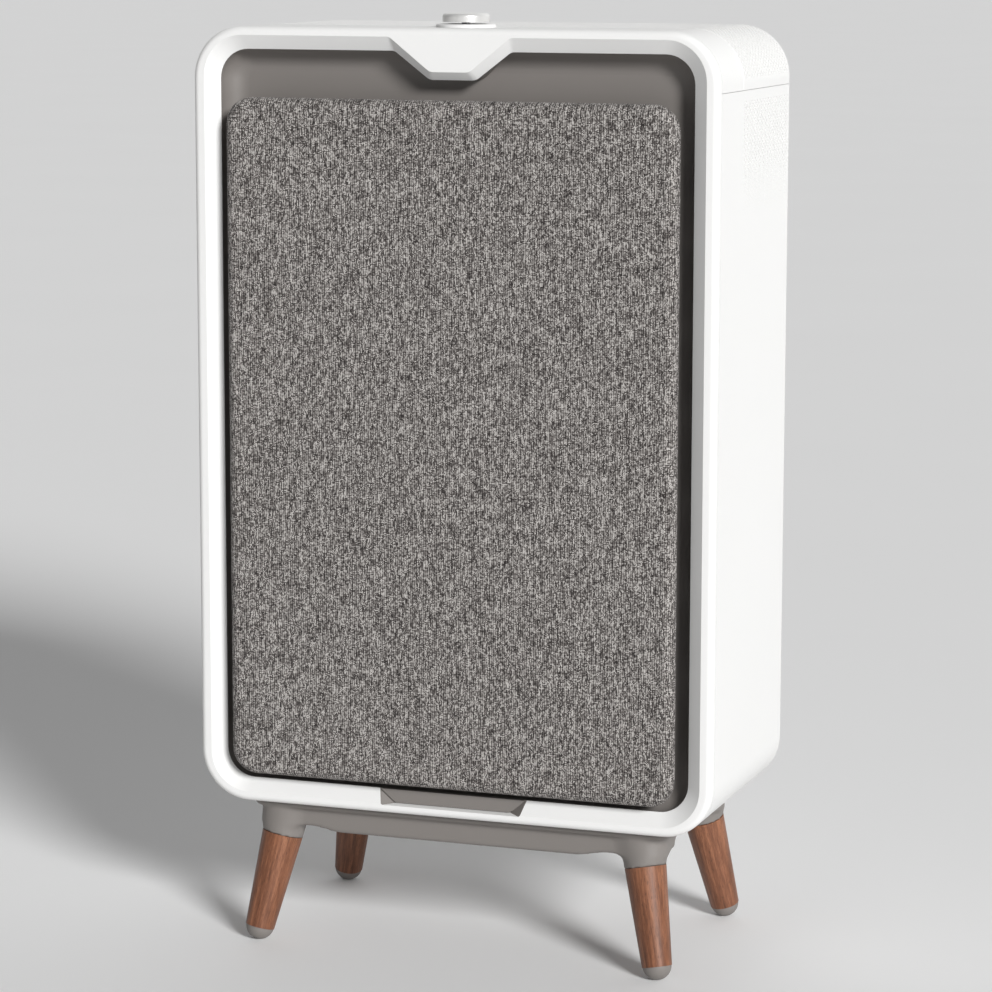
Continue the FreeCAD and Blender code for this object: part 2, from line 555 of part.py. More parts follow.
# ---------------------------------------------------------------- electronics
def electronics_case():
    """Open box on the bottom of the shell that holds the boards."""
    outer = box(CASE_X0, CASE_X1, CASE_Y0, CASE_Y1, CASE_LOW, CASE_HIGH)
    inner = box(CASE_X0 + CASE_WALL, CASE_X1 - CASE_WALL, CASE_Y0 + CASE_WALL, CASE_Y1 - CASE_WALL,
                CASE_LOW + CASE_WALL, CASE_HIGH + 1)
    feet = [rod_z(4.0, x, y, SHELL_LOW + WALL, CASE_LOW)
            for x in (CASE_X0 + 8, CASE_X1 - 8) for y in (CASE_Y0 + 8, CASE_Y1 - 8)]
    return fused([outer.cut(inner)] + feet)


def electronics_lid():
    """Lid of the electronics case."""
    return box(CASE_X0, CASE_X1, CASE_Y0, CASE_Y1, CASE_HIGH, CASE_HIGH + CASE_WALL)


def board(x0, x1, y0, y1, z, parts):
    """Circuit board with block-shaped components: each is (x, y, width, depth, height)."""
    plate = box(x0, x1, y0, y1, z, z + 1.6)
    blocks = [mid_box(x, y, z + 1.6 + h / 2, w, d, h) for x, y, w, d, h in parts]
    return fused([plate] + blocks)


def main_board():
    """Controller board on the left of the case."""
    middle_y = (CASE_Y0 + CASE_Y1) / 2
    return board(CASE_X0 + 5, CASE_X0 + 68, CASE_Y0 + 5, CASE_Y1 - 5, CASE_LOW + 6,
                 [(CASE_X0 + 30, middle_y, 12, 12, 1.4), (CASE_X0 + 50, middle_y + 20, 18, 7, 9),
                  (CASE_X0 + 50, middle_y - 18, 8, 8, 12), (CASE_X0 + 20, middle_y - 22, 14, 6, 8)])


def power_board():
    """Mains supply board on the right of the case."""
    middle_y = (CASE_Y0 + CASE_Y1) / 2
    return board(CASE_X1 - 66, CASE_X1 - 5, CASE_Y0 + 5, CASE_Y1 - 5, CASE_LOW + 6,
                 [(CASE_X1 - 36, middle_y, 26, 22, 24), (CASE_X1 - 56, middle_y + 20, 12, 12, 22),
                  (CASE_X1 - 16, middle_y - 20, 12, 14, 16), (CASE_X1 - 36, middle_y - 26, 18, 9, 14)])


def board_spacers():
    """Posts under the two boards."""
    xs = (CASE_X0 + 9, CASE_X0 + 64, CASE_X1 - 62, CASE_X1 - 9)
    return group([rod_z(3.0, x, y, CASE_LOW + CASE_WALL, CASE_LOW + 6)
                  for x in xs for y in (CASE_Y0 + 9, CASE_Y1 - 9)])


def power_inlet():
    """Two-pin mains socket let into the rear cover."""
    y_face = SHELL_BACK_Y - 0.2
    body = mid_box(POWER_X, y_face - 11, POWER_Z, 2 * POWER_HALF_W - 0.2, 22, 2 * POWER_HALF_H - 0.2)
    recess = slab(rectangle(9.5, POWER_Z - 5.5, POWER_Z + 5.5, 2.5), y_face - 14, y_face + 1)
    recess.translate(V(POWER_X, 0, 0))
    pins = [rod_y(1.2, POWER_X + side * 5.6, POWER_Z, y_face - 15, y_face - 4) for side in (-1, 1)]
    return fused([body.cut(recess)] + pins)


def dust_sensor():
    """Particle sensor box on the scroll's right flank, below the outlet duct."""
    body = box(100.0, 145.0, SCROLL_BACK_Y, SCROLL_BACK_Y + 16, 470.0, 515.0)
    return body.cut(mid_box(122.5, SCROLL_BACK_Y + 14, 492.0, 9.0, 10.0, 9.0))


def display_board():
    """Board under the top cover that carries the knob's encoder."""
    return box(-38.0, 38.0, KNOB_Y - 7.6, KNOB_Y + 22, DISPLAY_LOW, DISPLAY_HIGH)


def encoder():
    """Rotary encoder body soldered to the display board, hollow for the spindle."""
    body = mid_box(0, KNOB_Y, DISPLAY_HIGH + 3.5, 14.0, 14.0, 7.0)
    collar = rod_z(4.6, 0, KNOB_Y, 620.0, 626.0)
    return fused([body, collar]).cut(rod_z(SPINDLE_RADIUS + 0.05, 0, KNOB_Y, 615.2, 630))


def board_posts():
    """Four posts that hang the display board from the top cover."""
    return group([rod_z(3.0, x, KNOB_Y + dy, DISPLAY_HIGH, SHELL_HIGH - WALL)
                  for x in (-32.0, 32.0) for dy in (-4.0, 17.0)])


# ---------------------------------------------------------------- knob
def knob_trim():
    """Low white ring round the knob."""
    ring = rod_z(TRIM_RADIUS, 0, KNOB_Y, SHELL_HIGH, TRIM_HIGH)
    edges = [edge for edge in ring.Edges if edge.BoundBox.ZMin > TRIM_HIGH - 1e-4]
    return ring.makeFillet(1.4, edges).cut(rod_z(6.0, 0, KNOB_Y, 620, 640))


def encoder_spindle():
    """Press shaft of the encoder: travels down when the knob is pushed."""
    stem = rod_z(SPINDLE_RADIUS, 0, KNOB_Y, 617.0, 638.6)
    return stem.fuse(rod_z(4.4, 0, KNOB_Y, 627.6, 629.0))


def press_spring():
    """Return spring between the encoder collar and the spindle's shoulder, drawn as a thin sleeve."""
    return rod_z(4.3, 0, KNOB_Y, 626.1, 627.5).cut(rod_z(3.4, 0, KNOB_Y, 620, 630))


def control_knob():
    """Silver dial that turns on the spindle."""
    dial = rod_z(KNOB_RADIUS, 0, KNOB_Y, KNOB_LOW + 1.0, KNOB_HIGH)
    edges = [edge for edge in dial.Edges if edge.BoundBox.ZMin > KNOB_HIGH - 1e-4]
    dial = dial.makeFillet(2.6, edges)
    hollow = rod_z(KNOB_RADIUS - 2.2, 0, KNOB_Y, KNOB_LOW - 1, KNOB_HIGH - 3.0)
    hub = rod_z(5.5, 0, KNOB_Y, KNOB_LOW + 1.0, KNOB_HIGH - 2.5)
    return fused([dial.cut(hollow), hub]).cut(rod_z(SPINDLE_RADIUS + 0.04, 0, KNOB_Y, 630, 638.8))


# ---------------------------------------------------------------- base and legs
def leg_places():
    """Side and front/back signs of the four legs, with their names."""
    return [("front_left", -1, -1), ("front_right", 1, -1), ("rear_left", -1, 1), ("rear_right", 1, 1)]


def leg_point(side, end, z):
    """Point on a leg's axis at height z."""
    drop = LEG_TOP_Z - z
    return V(side * (LEG_TOP_X + SPLAY_X * drop), BASE_MID_Y + end * (LEG_TOP_HALF_Y + SPLAY_Y * drop), z)


def leg_cone(side, end, z_high, r_high, z_low, r_low):
    """Round tapered bar along a leg's axis."""
    top, low = leg_point(side, end, z_high), leg_point(side, end, z_low)
    return Part.makeCone(r_high, r_low, (low - top).Length, top, low - top)


def leg_bore(side, end, z_high, z_low):
    """Straight round bar along a leg's axis, the size of the leg's stud."""
    top, low = leg_point(side, end, z_high), leg_point(side, end, z_low)
    return Part.makeCylinder(LEG_BORE_RADIUS, (low - top).Length, top, low - top)


def base_outline(inset, z):
    """Rounded rectangle of the base at height z, drawn inset from the lip."""
    half_x, half_y = LIP_HALF_WIDTH - inset, LIP_HALF_DEPTH - inset
    radius = LIP_RADIUS - 0.35 * inset
    wire = outline([(-half_x, -half_y, radius), (half_x, -half_y, radius),
                    (half_x, half_y, radius), (-half_x, half_y, radius)], 0)
    wire.rotate(V(0, 0, 0), V(1, 0, 0), 90)
    wire.translate(V(0, BASE_MID_Y, z))
    return wire


def base_frame():
    """Taupe base: a rounded lip over a beam, hollow below, with four splayed leg sockets."""
    levels = [(SHELL_LOW, 0.0), (98.6, 0.35), (97.2, 1.2), (95.8, 2.7), (BEAM_HIGH, BEAM_INSET)]
    lofts = [Part.makeLoft([base_outline(inset, z), base_outline(low_inset, low_z)], True, True)
             for (z, inset), (low_z, low_inset) in zip(levels, levels[1:])]
    beam = Part.Face(base_outline(BEAM_INSET, BEAM_LOW)).extrude(V(0, 0, BEAM_HIGH - BEAM_LOW))
    pocket = Part.Face(base_outline(BEAM_INSET + BEAM_WALL, BEAM_LOW - 1))
    pocket = pocket.extrude(V(0, 0, POCKET_TOP - BEAM_LOW + 1))
    side_arch = box(-LIP_HALF_WIDTH, LIP_HALF_WIDTH, BASE_MID_Y - SIDE_ARCH_HALF, BASE_MID_Y + SIDE_ARCH_HALF,
                    BEAM_LOW - 1, SIDE_ARCH_TOP)
    body = fused(lofts + [beam]).cut(pocket).cut(side_arch)
    for _, side, end in leg_places():
        body = body.fuse(leg_cone(side, end, 95.0, 16.6, LEG_TOP_Z, LEG_TOP_RADIUS + 0.1))
    body = body.common(box(-200, 200, -120, 120, 0, SHELL_LOW))
    for _, side, end in leg_places():
        body = body.cut(leg_bore(side, end, 93.0, LEG_TOP_Z - 5))
    for x, y in base_screw_places():
        body = body.cut(rod_z(1.6, x, y, 70, 110))
    return body.removeSplitter()


def base_screw_places():
    """Four screws that tie the base to the shell."""
    return [(x, BASE_MID_Y + dy) for x in (-100.0, 100.0) for dy in (-50.0, 50.0)]


def base_screws():
    """Four screws driven up from the base's pocket into the shell."""
    return group([rod_z(3.4, x, y, POCKET_TOP - 2.0, POCKET_TOP).fuse(rod_z(1.55, x, y, POCKET_TOP, 102.0))
                  for x, y in base_screw_places()])


def wood_leg(side, end):
    """Tapered wooden leg with a blind hole for its bolt."""
    leg = leg_cone(side, end, LEG_TOP_Z, LEG_TOP_RADIUS, LEG_TIP_Z, LEG_TIP_RADIUS)
    return leg.cut(leg_bore(side, end, LEG_TOP_Z + 2, LEG_TOP_Z - 26))


def leg_bolts():
    """Four studs that join the legs to the base's sockets."""
    return group([leg_bore(side, end, 92.5, LEG_TOP_Z - 25) for _, side, end in leg_places()])


def foot_tip(side, end):
    """Rounded grey tip under a leg, cut flat where it meets the floor."""
    low = leg_point(side, end, LEG_TIP_Z)
    axis = (leg_point(side, end, 0) - leg_point(side, end, 50)).normalize()
    centre = leg_point(side, end, FOOT_SPHERE_Z)
    ball = Part.makeSphere(FOOT_RADIUS, centre)
    cap = Part.makeCylinder(30, 40, low, axis)
    above_floor = box(-250, 250, -150, 150, 0, 60)
    return ball.common(cap).common(above_floor)


# ---------------------------------------------------------------- output
def all_parts():
    """Every node's name and shape."""
    shell = shell_shape()
    parts = {
        "front_bezel": front_bezel(), "notch_plate": notch_plate(), "top_cover": top_cover(shell),
        "side_shell": side_shell(shell), "rear_cover": rear_cover(), "rear_screws": rear_screws(),
        "handle_cup": handle_cup(), "front_tray": front_tray(), "catch_plates": catch_plates(),
        "filter_bay": filter_bay(), "bay_grid": bay_grid(), "interlock_switch": interlock_switch(),
        "interlock_plunger": interlock_plunger(), "panel_fabric": panel_fabric(),
        "panel_frame": panel_frame(), "panel_magnets": panel_magnets(),
        "prefilter_frame": prefilter_frame(), "prefilter_mesh": prefilter_mesh(),
        "filter_frame": filter_frame(), "carbon_layer": carbon_layer(), "pleat_pack": pleat_pack(),
        "prefilter_tabs": prefilter_tabs(), "fan_scroll": fan_scroll(), "inlet_ring": inlet_ring(),
        "impeller": impeller(), "rotor_shaft": rotor_shaft(), "motor_rotor": motor_rotor(),
        "motor_housing": motor_housing(), "motor_stator": motor_stator(), "motor_bearings": motor_bearings(),
        "motor_bracket": motor_bracket(), "motor_grommets": motor_grommets(), "motor_screws": motor_screws(),
        "electronics_case": electronics_case(), "electronics_lid": electronics_lid(),
        "main_board": main_board(), "power_board": power_board(), "board_spacers": board_spacers(),
        "power_inlet": power_inlet(), "dust_sensor": dust_sensor(), "display_board": display_board(),
        "encoder": encoder(), "board_posts": board_posts(), "knob_trim": knob_trim(),
        "encoder_spindle": encoder_spindle(), "press_spring": press_spring(), "control_knob": control_knob(),
        "base_frame": base_frame(), "base_screws": base_screws(), "leg_bolts": leg_bolts(),
    }
    for name, side, end in leg_places():
        parts[name + "_leg"] = wood_leg(side, end)
        parts[name + "_foot"] = foot_tip(side, end)
    return parts


def main():
    """Write one STEP file for each node."""
    os.makedirs("parts", exist_ok=True)
    for name, shape in all_parts().items():
        if not shape.isValid() or not shape.Solids:
            raise ValueError(name + " is not a valid solid")
        shape.exportStep("parts/" + name + ".step")
        print(f"{name:20s} solids {len(shape.Solids):3d}  volume {shape.Volume / 1000.0:9.2f} cm3")


main()
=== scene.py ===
"""Looks of a floor-standing air purifier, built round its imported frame.

A white satin shell on four splayed walnut legs, a heathered fabric panel set in a taupe tray, fine
perforations over the top and the upper sides, and a pearl dial. Lengths are in metres in the row frame:
front faces -Y, +Z is up, +X is to the right seen from the front.
"""

import json
import logging
import math
from dataclasses import dataclass
from enum import Enum
from typing import Any, Callable, Iterable, Sequence, Union

import bmesh
import bpy
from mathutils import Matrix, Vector


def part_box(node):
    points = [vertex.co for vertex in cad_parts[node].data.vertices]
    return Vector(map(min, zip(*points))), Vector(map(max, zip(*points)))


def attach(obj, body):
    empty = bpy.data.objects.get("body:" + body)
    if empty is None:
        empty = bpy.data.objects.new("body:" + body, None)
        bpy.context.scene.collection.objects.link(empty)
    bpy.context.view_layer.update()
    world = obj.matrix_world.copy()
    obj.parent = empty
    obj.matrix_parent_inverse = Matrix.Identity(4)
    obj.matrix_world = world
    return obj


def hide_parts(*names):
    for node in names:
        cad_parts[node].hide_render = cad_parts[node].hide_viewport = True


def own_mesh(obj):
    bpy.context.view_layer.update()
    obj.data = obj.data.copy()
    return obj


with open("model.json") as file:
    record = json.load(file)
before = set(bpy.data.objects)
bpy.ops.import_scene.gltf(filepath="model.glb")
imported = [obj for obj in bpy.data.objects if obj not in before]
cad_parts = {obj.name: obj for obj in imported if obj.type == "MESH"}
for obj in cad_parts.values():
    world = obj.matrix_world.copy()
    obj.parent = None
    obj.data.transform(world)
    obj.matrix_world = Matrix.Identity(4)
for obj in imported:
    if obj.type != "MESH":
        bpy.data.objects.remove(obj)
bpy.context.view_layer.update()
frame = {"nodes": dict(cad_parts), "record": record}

LOG = logging.getLogger("air_purifier")
MM = 0.001
HEX_STEP = math.sqrt(3.0) / 2.0
WELD = 1e-6
SPECK_AREA = 1e-11
Span = tuple[float, float]
Colour = tuple[float, float, float]
Key = Union[int, str]
Value = Union[float, int, "Link"]


class Body(Enum):
    """The moving bodies that made pieces ride on."""

    HOUSING = "housing"
    FRONT_PANEL = "front_panel"
    PREFILTER = "prefilter"
    FILTER = "filter"


# ---------------------------------------------------------------- node graphs
def _operation(name: str, swapped: bool = False) -> Callable[..., "Link"]:
    """Return a method that makes a Math node.

    Args:
        name: the Math node's operation.
        swapped: whether the link itself comes last.

    Returns:
        The method, which takes the other values.
    """
    def method(self: "Link", *others: Value) -> "Link":
        """Return the Math node's result."""
        values = (*others, self) if swapped else (self, *others)
        return self.graph.math(name, *values)
    return method


class Link:
    """One output of a node, which can be used in Python arithmetic."""

    def __init__(self, graph: "Graph", node: bpy.types.Node, key: Key = 0) -> None:
        """Keep the node, which of its outputs is meant, and the graph that it is in."""
        self.graph, self.node, self.key = graph, node, key

    @property
    def socket(self) -> bpy.types.NodeSocket:
        """Return the output socket."""
        return self.node.outputs[self.key]

    __add__ = __radd__ = _operation("ADD")
    __sub__ = _operation("SUBTRACT")
    __rsub__ = _operation("SUBTRACT", swapped=True)
    __mul__ = __rmul__ = _operation("MULTIPLY")
    __truediv__ = _operation("DIVIDE")
    __mod__ = _operation("FLOORED_MODULO")
    __abs__ = _operation("ABSOLUTE")
    floor = _operation("FLOOR")
    least = _operation("MINIMUM")
    most = _operation("MAXIMUM")
    above = _operation("GREATER_THAN")
    below = _operation("LESS_THAN")

    def __neg__(self) -> "Link":
        """Return the value with its sign turned."""
        return self * -1.0

    def clamp(self, low: Value = 0.0, high: Value = 1.0) -> "Link":
        """Return the value held between two limits."""
        return self.most(low).least(high)


class Graph:
    """A shader or geometry node tree with one method that makes nodes."""

    def __init__(self, tree: bpy.types.NodeTree) -> None:
        """Keep the tree."""
        self.tree = tree

    def add(self, kind: str, inputs: dict[Key, Any] | None = None, out: Key = 0, **settings: Any) -> Link:
        """Make a node.

        Args:
            kind: the node's type, such as ShaderNodeTexNoise.
            inputs: values or links by socket name or number.
            out: the output to return, by name or number.
            settings: the node's own properties, set before its inputs.

        Returns:
            The chosen output.
        """
        node = self.tree.nodes.new(kind)
        for name, value in settings.items():
            setattr(node, name, value)
        for key, value in (inputs or {}).items():
            if isinstance(value, Link):
                self.tree.links.new(value.socket, node.inputs[key])
            else:
                node.inputs[key].default_value = value
        return Link(self, node, out)

    def math(self, operation: str, *values: Value) -> Link:
        """Return a Math node's result for one to three values."""
        return self.add("ShaderNodeMath", dict(enumerate(values)), operation=operation)

    def vector(self, operation: str, *values: Any) -> Link:
        """Return a Vector Math node's vector for its inputs in order."""
        return self.add("ShaderNodeVectorMath", dict(enumerate(values)), operation=operation)

    def length(self, value: Link) -> Link:
        """Return a vector's length."""
        return self.add("ShaderNodeVectorMath", {0: value}, "Value", operation="LENGTH")

    def split(self, value: Link) -> list[Link]:
        """Return a vector's three numbers."""
        node = self.add("ShaderNodeSeparateXYZ", {0: value}).node
        return [Link(self, node, number) for number in range(3)]

    def join(self, x: Value, y: Value, z: Value) -> Link:
        """Return a vector of three numbers."""
        return self.add("ShaderNodeCombineXYZ", {0: x, 1: y, 2: z})


def _rgba(value: Any) -> Any:
    """Return a three-number colour with its alpha, and anything else as it is."""
    return (*value, 1.0) if isinstance(value, tuple) and len(value) == 3 else value


class ShaderGraph(Graph):
    """A material's tree, with the helpers that the finishes share."""

    def __init__(self, name: str) -> None:
        """Make an empty material of that name."""
        self.material = bpy.data.materials.new(name)
        self.material.use_nodes = True
        self.material.node_tree.nodes.clear()
        super().__init__(self.material.node_tree)

    def object_place(self) -> Link:
        """Return the place on the object, in metres."""
        return self.add("ShaderNodeTexCoord", out="Object")

    def mapped(self, place: Link, **moves: Colour) -> Link:
        """Return a place after a mapping by Location, Rotation or Scale."""
        return self.add("ShaderNodeMapping", {"Vector": place, **moves}, vector_type="POINT")

    def noise(self, place: Link, scale: Union[float, Colour], detail: float = 2.0,
              roughness: float = 0.5) -> Link:
        """Return smooth noise.

        Args:
            place: where it is read.
            scale: how fine it is, as one number or one for each axis.
            detail: how many finer layers it has.
            roughness: how strong the finer layers are.

        Returns:
            A value between 0 and 1.
        """
        if isinstance(scale, tuple):
            place, scale = self.mapped(place, Scale=scale), 1.0
        inputs = {"Vector": place, "Scale": scale, "Detail": detail, "Roughness": roughness}
        return self.add("ShaderNodeTexNoise", inputs, "Fac", noise_dimensions="3D")

    def white_noise(self, place: Link) -> Link:
        """Return a random number for each place."""
        return self.add("ShaderNodeTexWhiteNoise", {0: place}, "Value", noise_dimensions="3D")

    def ramp(self, value: Link, stops: Sequence[tuple[float, Colour]]) -> Link:
        """Return a colour read off a ramp.

        Args:
            value: where the ramp is read.
            stops: the ramp's places and colours in order.

        Returns:
            The colour.
        """
        colour = self.add("ShaderNodeValToRGB", {0: value}, "Color")
        elements = colour.node.color_ramp.elements
        while len(elements) < len(stops):
            elements.new(1.0)
        for element, (place, shade) in zip(elements, stops):
            element.position = place
            element.color = (*shade, 1.0)
        return colour

    def mix(self, factor: Value, first: Any, second: Any) -> Link:
        """Return two colours mixed."""
        inputs = {0: factor, 6: _rgba(first), 7: _rgba(second)}
        return self.add("ShaderNodeMix", inputs, 2, data_type="RGBA", blend_type="MIX")

    def bump(self, height: Link, depth: float) -> Link:
        """Return a normal raised by a height between 0 and 1 times a depth in metres."""
        return self.add("ShaderNodeBump", {"Strength": 1.0, "Distance": depth, "Height": height})

    def finish(self, **sockets: Any) -> bpy.types.Material:
        """Close the tree with the main surface shader.

        Args:
            sockets: the shader's inputs, with underscores for spaces.

        Returns:
            The finished material.
        """
        named = {key.replace("_", " "): _rgba(value) for key, value in sockets.items()}
        self.add("ShaderNodeOutputMaterial", {"Surface": self.add("ShaderNodeBsdfPrincipled", named)})
        return self.material


# ---------------------------------------------------------------- finishes
@dataclass(frozen=True)
class Finish:
    """A named look that makes its own material."""

    name: str

    def material(self) -> bpy.types.Material:
        """Return the material."""
        graph = ShaderGraph(self.name)
        return graph.finish(**self.sockets(graph))

    def sockets(self, graph: ShaderGraph) -> dict[str, Any]:
        """Return what goes into the main shader."""
        raise NotImplementedError


def dimmed(colour: Colour, share: float) -> Colour:
    """Return a colour with every channel times a share."""
    return tuple(channel * share for channel in colour)


@dataclass(frozen=True)
class PlasticFinish(Finish):
    """Moulded plastic with a fine spark-eroded grain."""

    colour: Colour
    roughness: float = 0.45
    grain: float = 0.35 * MM
    grain_depth: float = 0.012 * MM
    mottle: float = 0.03
    cloud_scale: float = 9.0
    flow_scale: Colour = (30.0, 30.0, 6.0)

    def sockets(self, graph: ShaderGraph) -> dict[str, Any]:
        """Return a faintly clouded colour, an uneven shine and the grain."""
        place = graph.object_place()
        cloud = graph.noise(place, self.cloud_scale, 3.0)
        fine = graph.noise(place, 1.0 / self.grain, 2.0, 0.6)
        flow = graph.noise(place, self.flow_scale)
        return {"Base_Color": graph.mix(cloud, dimmed(self.colour, 1.0 - self.mottle), self.colour),
                "Roughness": self.roughness + (flow - 0.5) * 0.1 + (fine - 0.5) * 0.12,
                "Specular_IOR_Level": 0.5, "Normal": graph.bump(fine, self.grain_depth)}


@dataclass(frozen=True)
class FabricFinish(Finish):
    """Heathered linen weave, drawn thread by thread on the cloth's own UV map.

    The upright threads lie in pairs with painted shade in the gap between pairs, and each is dyed in long
    streaks.
    """

    dark: Colour = (0.028, 0.024, 0.023)
    middle: Colour = (0.172, 0.156, 0.147)
    light: Colour = (0.56, 0.535, 0.51)
    warp_pitch: float = 0.78 * MM
    weft_pitch: float = 0.74 * MM
    thread_depth: float = 0.22 * MM
    warp_streak: float = 7.0 * MM
    weft_streak: float = 2.6 * MM
    sway_scale: float = 60.0
    shake_scale: float = 900.0
    fibre_scale: float = 2600.0
    fuzz_scale: float = 4000.0
    thread_seed: float = 7.31
    tone: float = 0.58
    dye_share: float = 0.90
    fleck_share: float = 0.80
    fibre_share: float = 0.5
    # painted shade: thread edges darker and crowns lighter, as light falls on round threads
    round_shade_share: float = 0.24
    # painted shade in the gap between pairs of upright threads
    gap_shade_share: float = 0.34
    over_share: float = 0.04
    uv_name: str = "weave"

    def sockets(self, graph: ShaderGraph) -> dict[str, Any]:
        """Return the threads' colours with painted shade at their edges and in the gaps between pairs, their
        dull shine and their relief.
        """
        u, v, _ = graph.split(graph.add("ShaderNodeUVMap", uv_map=self.uv_name))

        def cloud(scale: float, layer: float, *shape: float) -> Link:
            """Return noise that is the same size both ways over the cloth."""
            return graph.noise(graph.join(u * scale, v * scale, layer), 1.0, *shape)

        sway = cloud(self.sway_scale, 0.0) - 0.5
        shake = cloud(self.shake_scale, 2.0, 1.0) - 0.5
        across = u / self.warp_pitch + sway * 0.7 + shake * 0.45
        along = v / self.weft_pitch + sway * 1.1 + shake * 0.55
        warp, weft = across.floor(), along.floor()
        over = (warp + weft) % 2.0
        warp_place = graph.join(warp * self.thread_seed, v / self.warp_streak, 3.0)
        weft_place = graph.join(u / self.weft_streak, weft * self.thread_seed, 11.0)
        warp_dye, weft_dye = (graph.noise(place, 1.0, 3.0, 0.6) - 0.5 for place in (warp_place, weft_place))
        dyed = warp_dye * (2.0 + over * 1.4) + weft_dye * (2.6 - over * 1.8)
        fleck = graph.white_noise(graph.join(warp, weft, 5.0)) - 0.5
        fibre = cloud(self.fibre_scale, 8.0, 2.0, 0.6) - 0.5
        # the gap between thread pairs: a hollow in the relief, and painted shade in the tone
        gap = graph.math("COSINE", across * math.pi) * 0.5 + 0.5
        height = self._thread_round(across) * over + self._thread_round(along) * (1.0 - over)
        # painted shade: the tone darkens thread edges and the gaps between thread pairs, and lightens thread
        # crowns
        tone = (self.tone + dyed * self.dye_share + fleck * self.fleck_share + fibre * self.fibre_share
                + (height - 0.6) * self.round_shade_share - gap * self.gap_shade_share + over * self.over_share).clamp()
        relief = (height * 0.7 + cloud(self.fuzz_scale, 5.0) * 0.2 + tone * 0.1 - gap * 0.3).clamp()
        return {"Base_Color": graph.ramp(tone, [(0.0, self.dark), (0.50, self.middle), (1.0, self.light)]),
                "Roughness": 0.92 - tone * 0.1, "Specular_IOR_Level": 0.2, "Sheen_Weight": 0.08,
                "Sheen_Roughness": 0.5, "Normal": graph.bump(relief, self.thread_depth)}

    def _thread_round(self, across: Link) -> Link:
        """Return the height of a thread's round section, 1 at its middle and 0 at its edges."""
        offset = abs((across % 1.0) - 0.5) * 2.0
        return 1.0 - offset * offset


@dataclass(frozen=True)
class WalnutFinish(Finish):
    """Oiled walnut with its grain along a splayed leg."""

    tilt: Colour
    centre: Colour
    dark: Colour = (0.070, 0.024, 0.011)
    middle: Colour = (0.200, 0.076, 0.036)
    light: Colour = (0.36, 0.155, 0.080)
    wander_scale: Colour = (45.0, 45.0, 7.0)
    streak_scale: Colour = (1100.0, 1100.0, 26.0)
    broad_scale: Colour = (190.0, 190.0, 12.0)
    pore_scale: Colour = (2600.0, 2600.0, 150.0)
    ring_scale: float = 1700.0
    pore_share: float = 0.37
    pore_depth: float = 0.04 * MM

    def sockets(self, graph: ShaderGraph) -> dict[str, Any]:
        """Return rings, streaks and pores drawn out along the leg."""
        centred = graph.vector("SUBTRACT", graph.object_place(), self.centre)
        place = graph.mapped(centred, Rotation=self.tilt)
        wander = graph.noise(place, self.wander_scale, 3.0)
        ring = graph.math("SINE", graph.split(place)[0] * self.ring_scale + wander * 16.0) * 0.5 + 0.5
        streak = graph.noise(place, self.streak_scale, 4.0, 0.7)
        broad = graph.noise(place, self.broad_scale, 3.0)
        pores = graph.noise(place, self.pore_scale, 1.0).below(self.pore_share)
        tone = (ring * 0.14 + (streak - 0.5) * 1.1 + (broad - 0.5) * 0.9 + 0.43).clamp()
        colour = graph.ramp(tone, [(0.10, self.dark), (0.50, self.middle), (0.92, self.light)])
        relief = (streak * 0.6 + (1.0 - pores) * 0.4).clamp()
        return {"Base_Color": graph.mix(pores * 0.6, colour, self.dark), "Roughness": 0.36 + streak * 0.16,
                "Specular_IOR_Level": 0.5, "Normal": graph.bump(relief, self.pore_depth)}


@dataclass(frozen=True)
class MetalFinish(Finish):
    """Metal with fine lines turned round one axis or drawn along another."""

    colour: Colour
    roughness: float = 0.3
    metallic: float = 1.0
    line_scale: Colour = (500.0, 500.0, 60.0)
    line_depth: float = 0.004 * MM
    cloud_scale: float = 60.0
    worn_share: float = 0.88

    def sockets(self, graph: ShaderGraph) -> dict[str, Any]:
        """Return a faintly worn colour and fine lines."""
        place = graph.object_place()
        lines = graph.noise(place, self.line_scale, 3.0, 0.6)
        cloud = graph.noise(place, self.cloud_scale)
        return {"Base_Color": graph.mix(cloud, dimmed(self.colour, self.worn_share), self.colour),
                "Roughness": self.roughness + (lines - 0.5) * 0.14, "Metallic": self.metallic,
                "Normal": graph.bump(lines, self.line_depth)}


@dataclass(frozen=True)
class PaperFinish(Finish):
    """Filter paper with a felted surface and faint stains."""

    colour: Colour = (0.80, 0.80, 0.77)
    felt_scale: float = 1800.0
    stain_scale: float = 25.0
    stain_share: float = 0.86
    felt_depth: float = 0.08 * MM

    def sockets(self, graph: ShaderGraph) -> dict[str, Any]:
        """Return a stained colour and the felt's relief."""
        place = graph.object_place()
        felt = graph.noise(place, self.felt_scale, 4.0, 0.7)
        stain = graph.noise(place, self.stain_scale, 3.0)
        shade = stain * 0.5 + felt * 0.5
        return {"Base_Color": graph.mix(shade, dimmed(self.colour, self.stain_share), self.colour),
                "Roughness": 0.85 + felt * 0.1, "Specular_IOR_Level": 0.15,
                "Normal": graph.bump(felt, self.felt_depth)}


@dataclass(frozen=True)
class GrainFinish(Finish):
    """Matt granular or rubbery surface, such as carbon, rubber or mesh yarn."""

    colour: Colour
    speck: Colour
    scale: float = 1200.0
    depth: float = 0.1 * MM
    roughness: float = 0.8

    def sockets(self, graph: ShaderGraph) -> dict[str, Any]:
        """Return a speckled colour and the grain's relief."""
        grain = graph.noise(graph.object_place(), self.scale, 3.0, 0.7)
        return {"Base_Color": graph.mix(grain, self.colour, self.speck),
                "Roughness": self.roughness + (grain - 0.5) * 0.15, "Normal": graph.bump(grain, self.depth)}


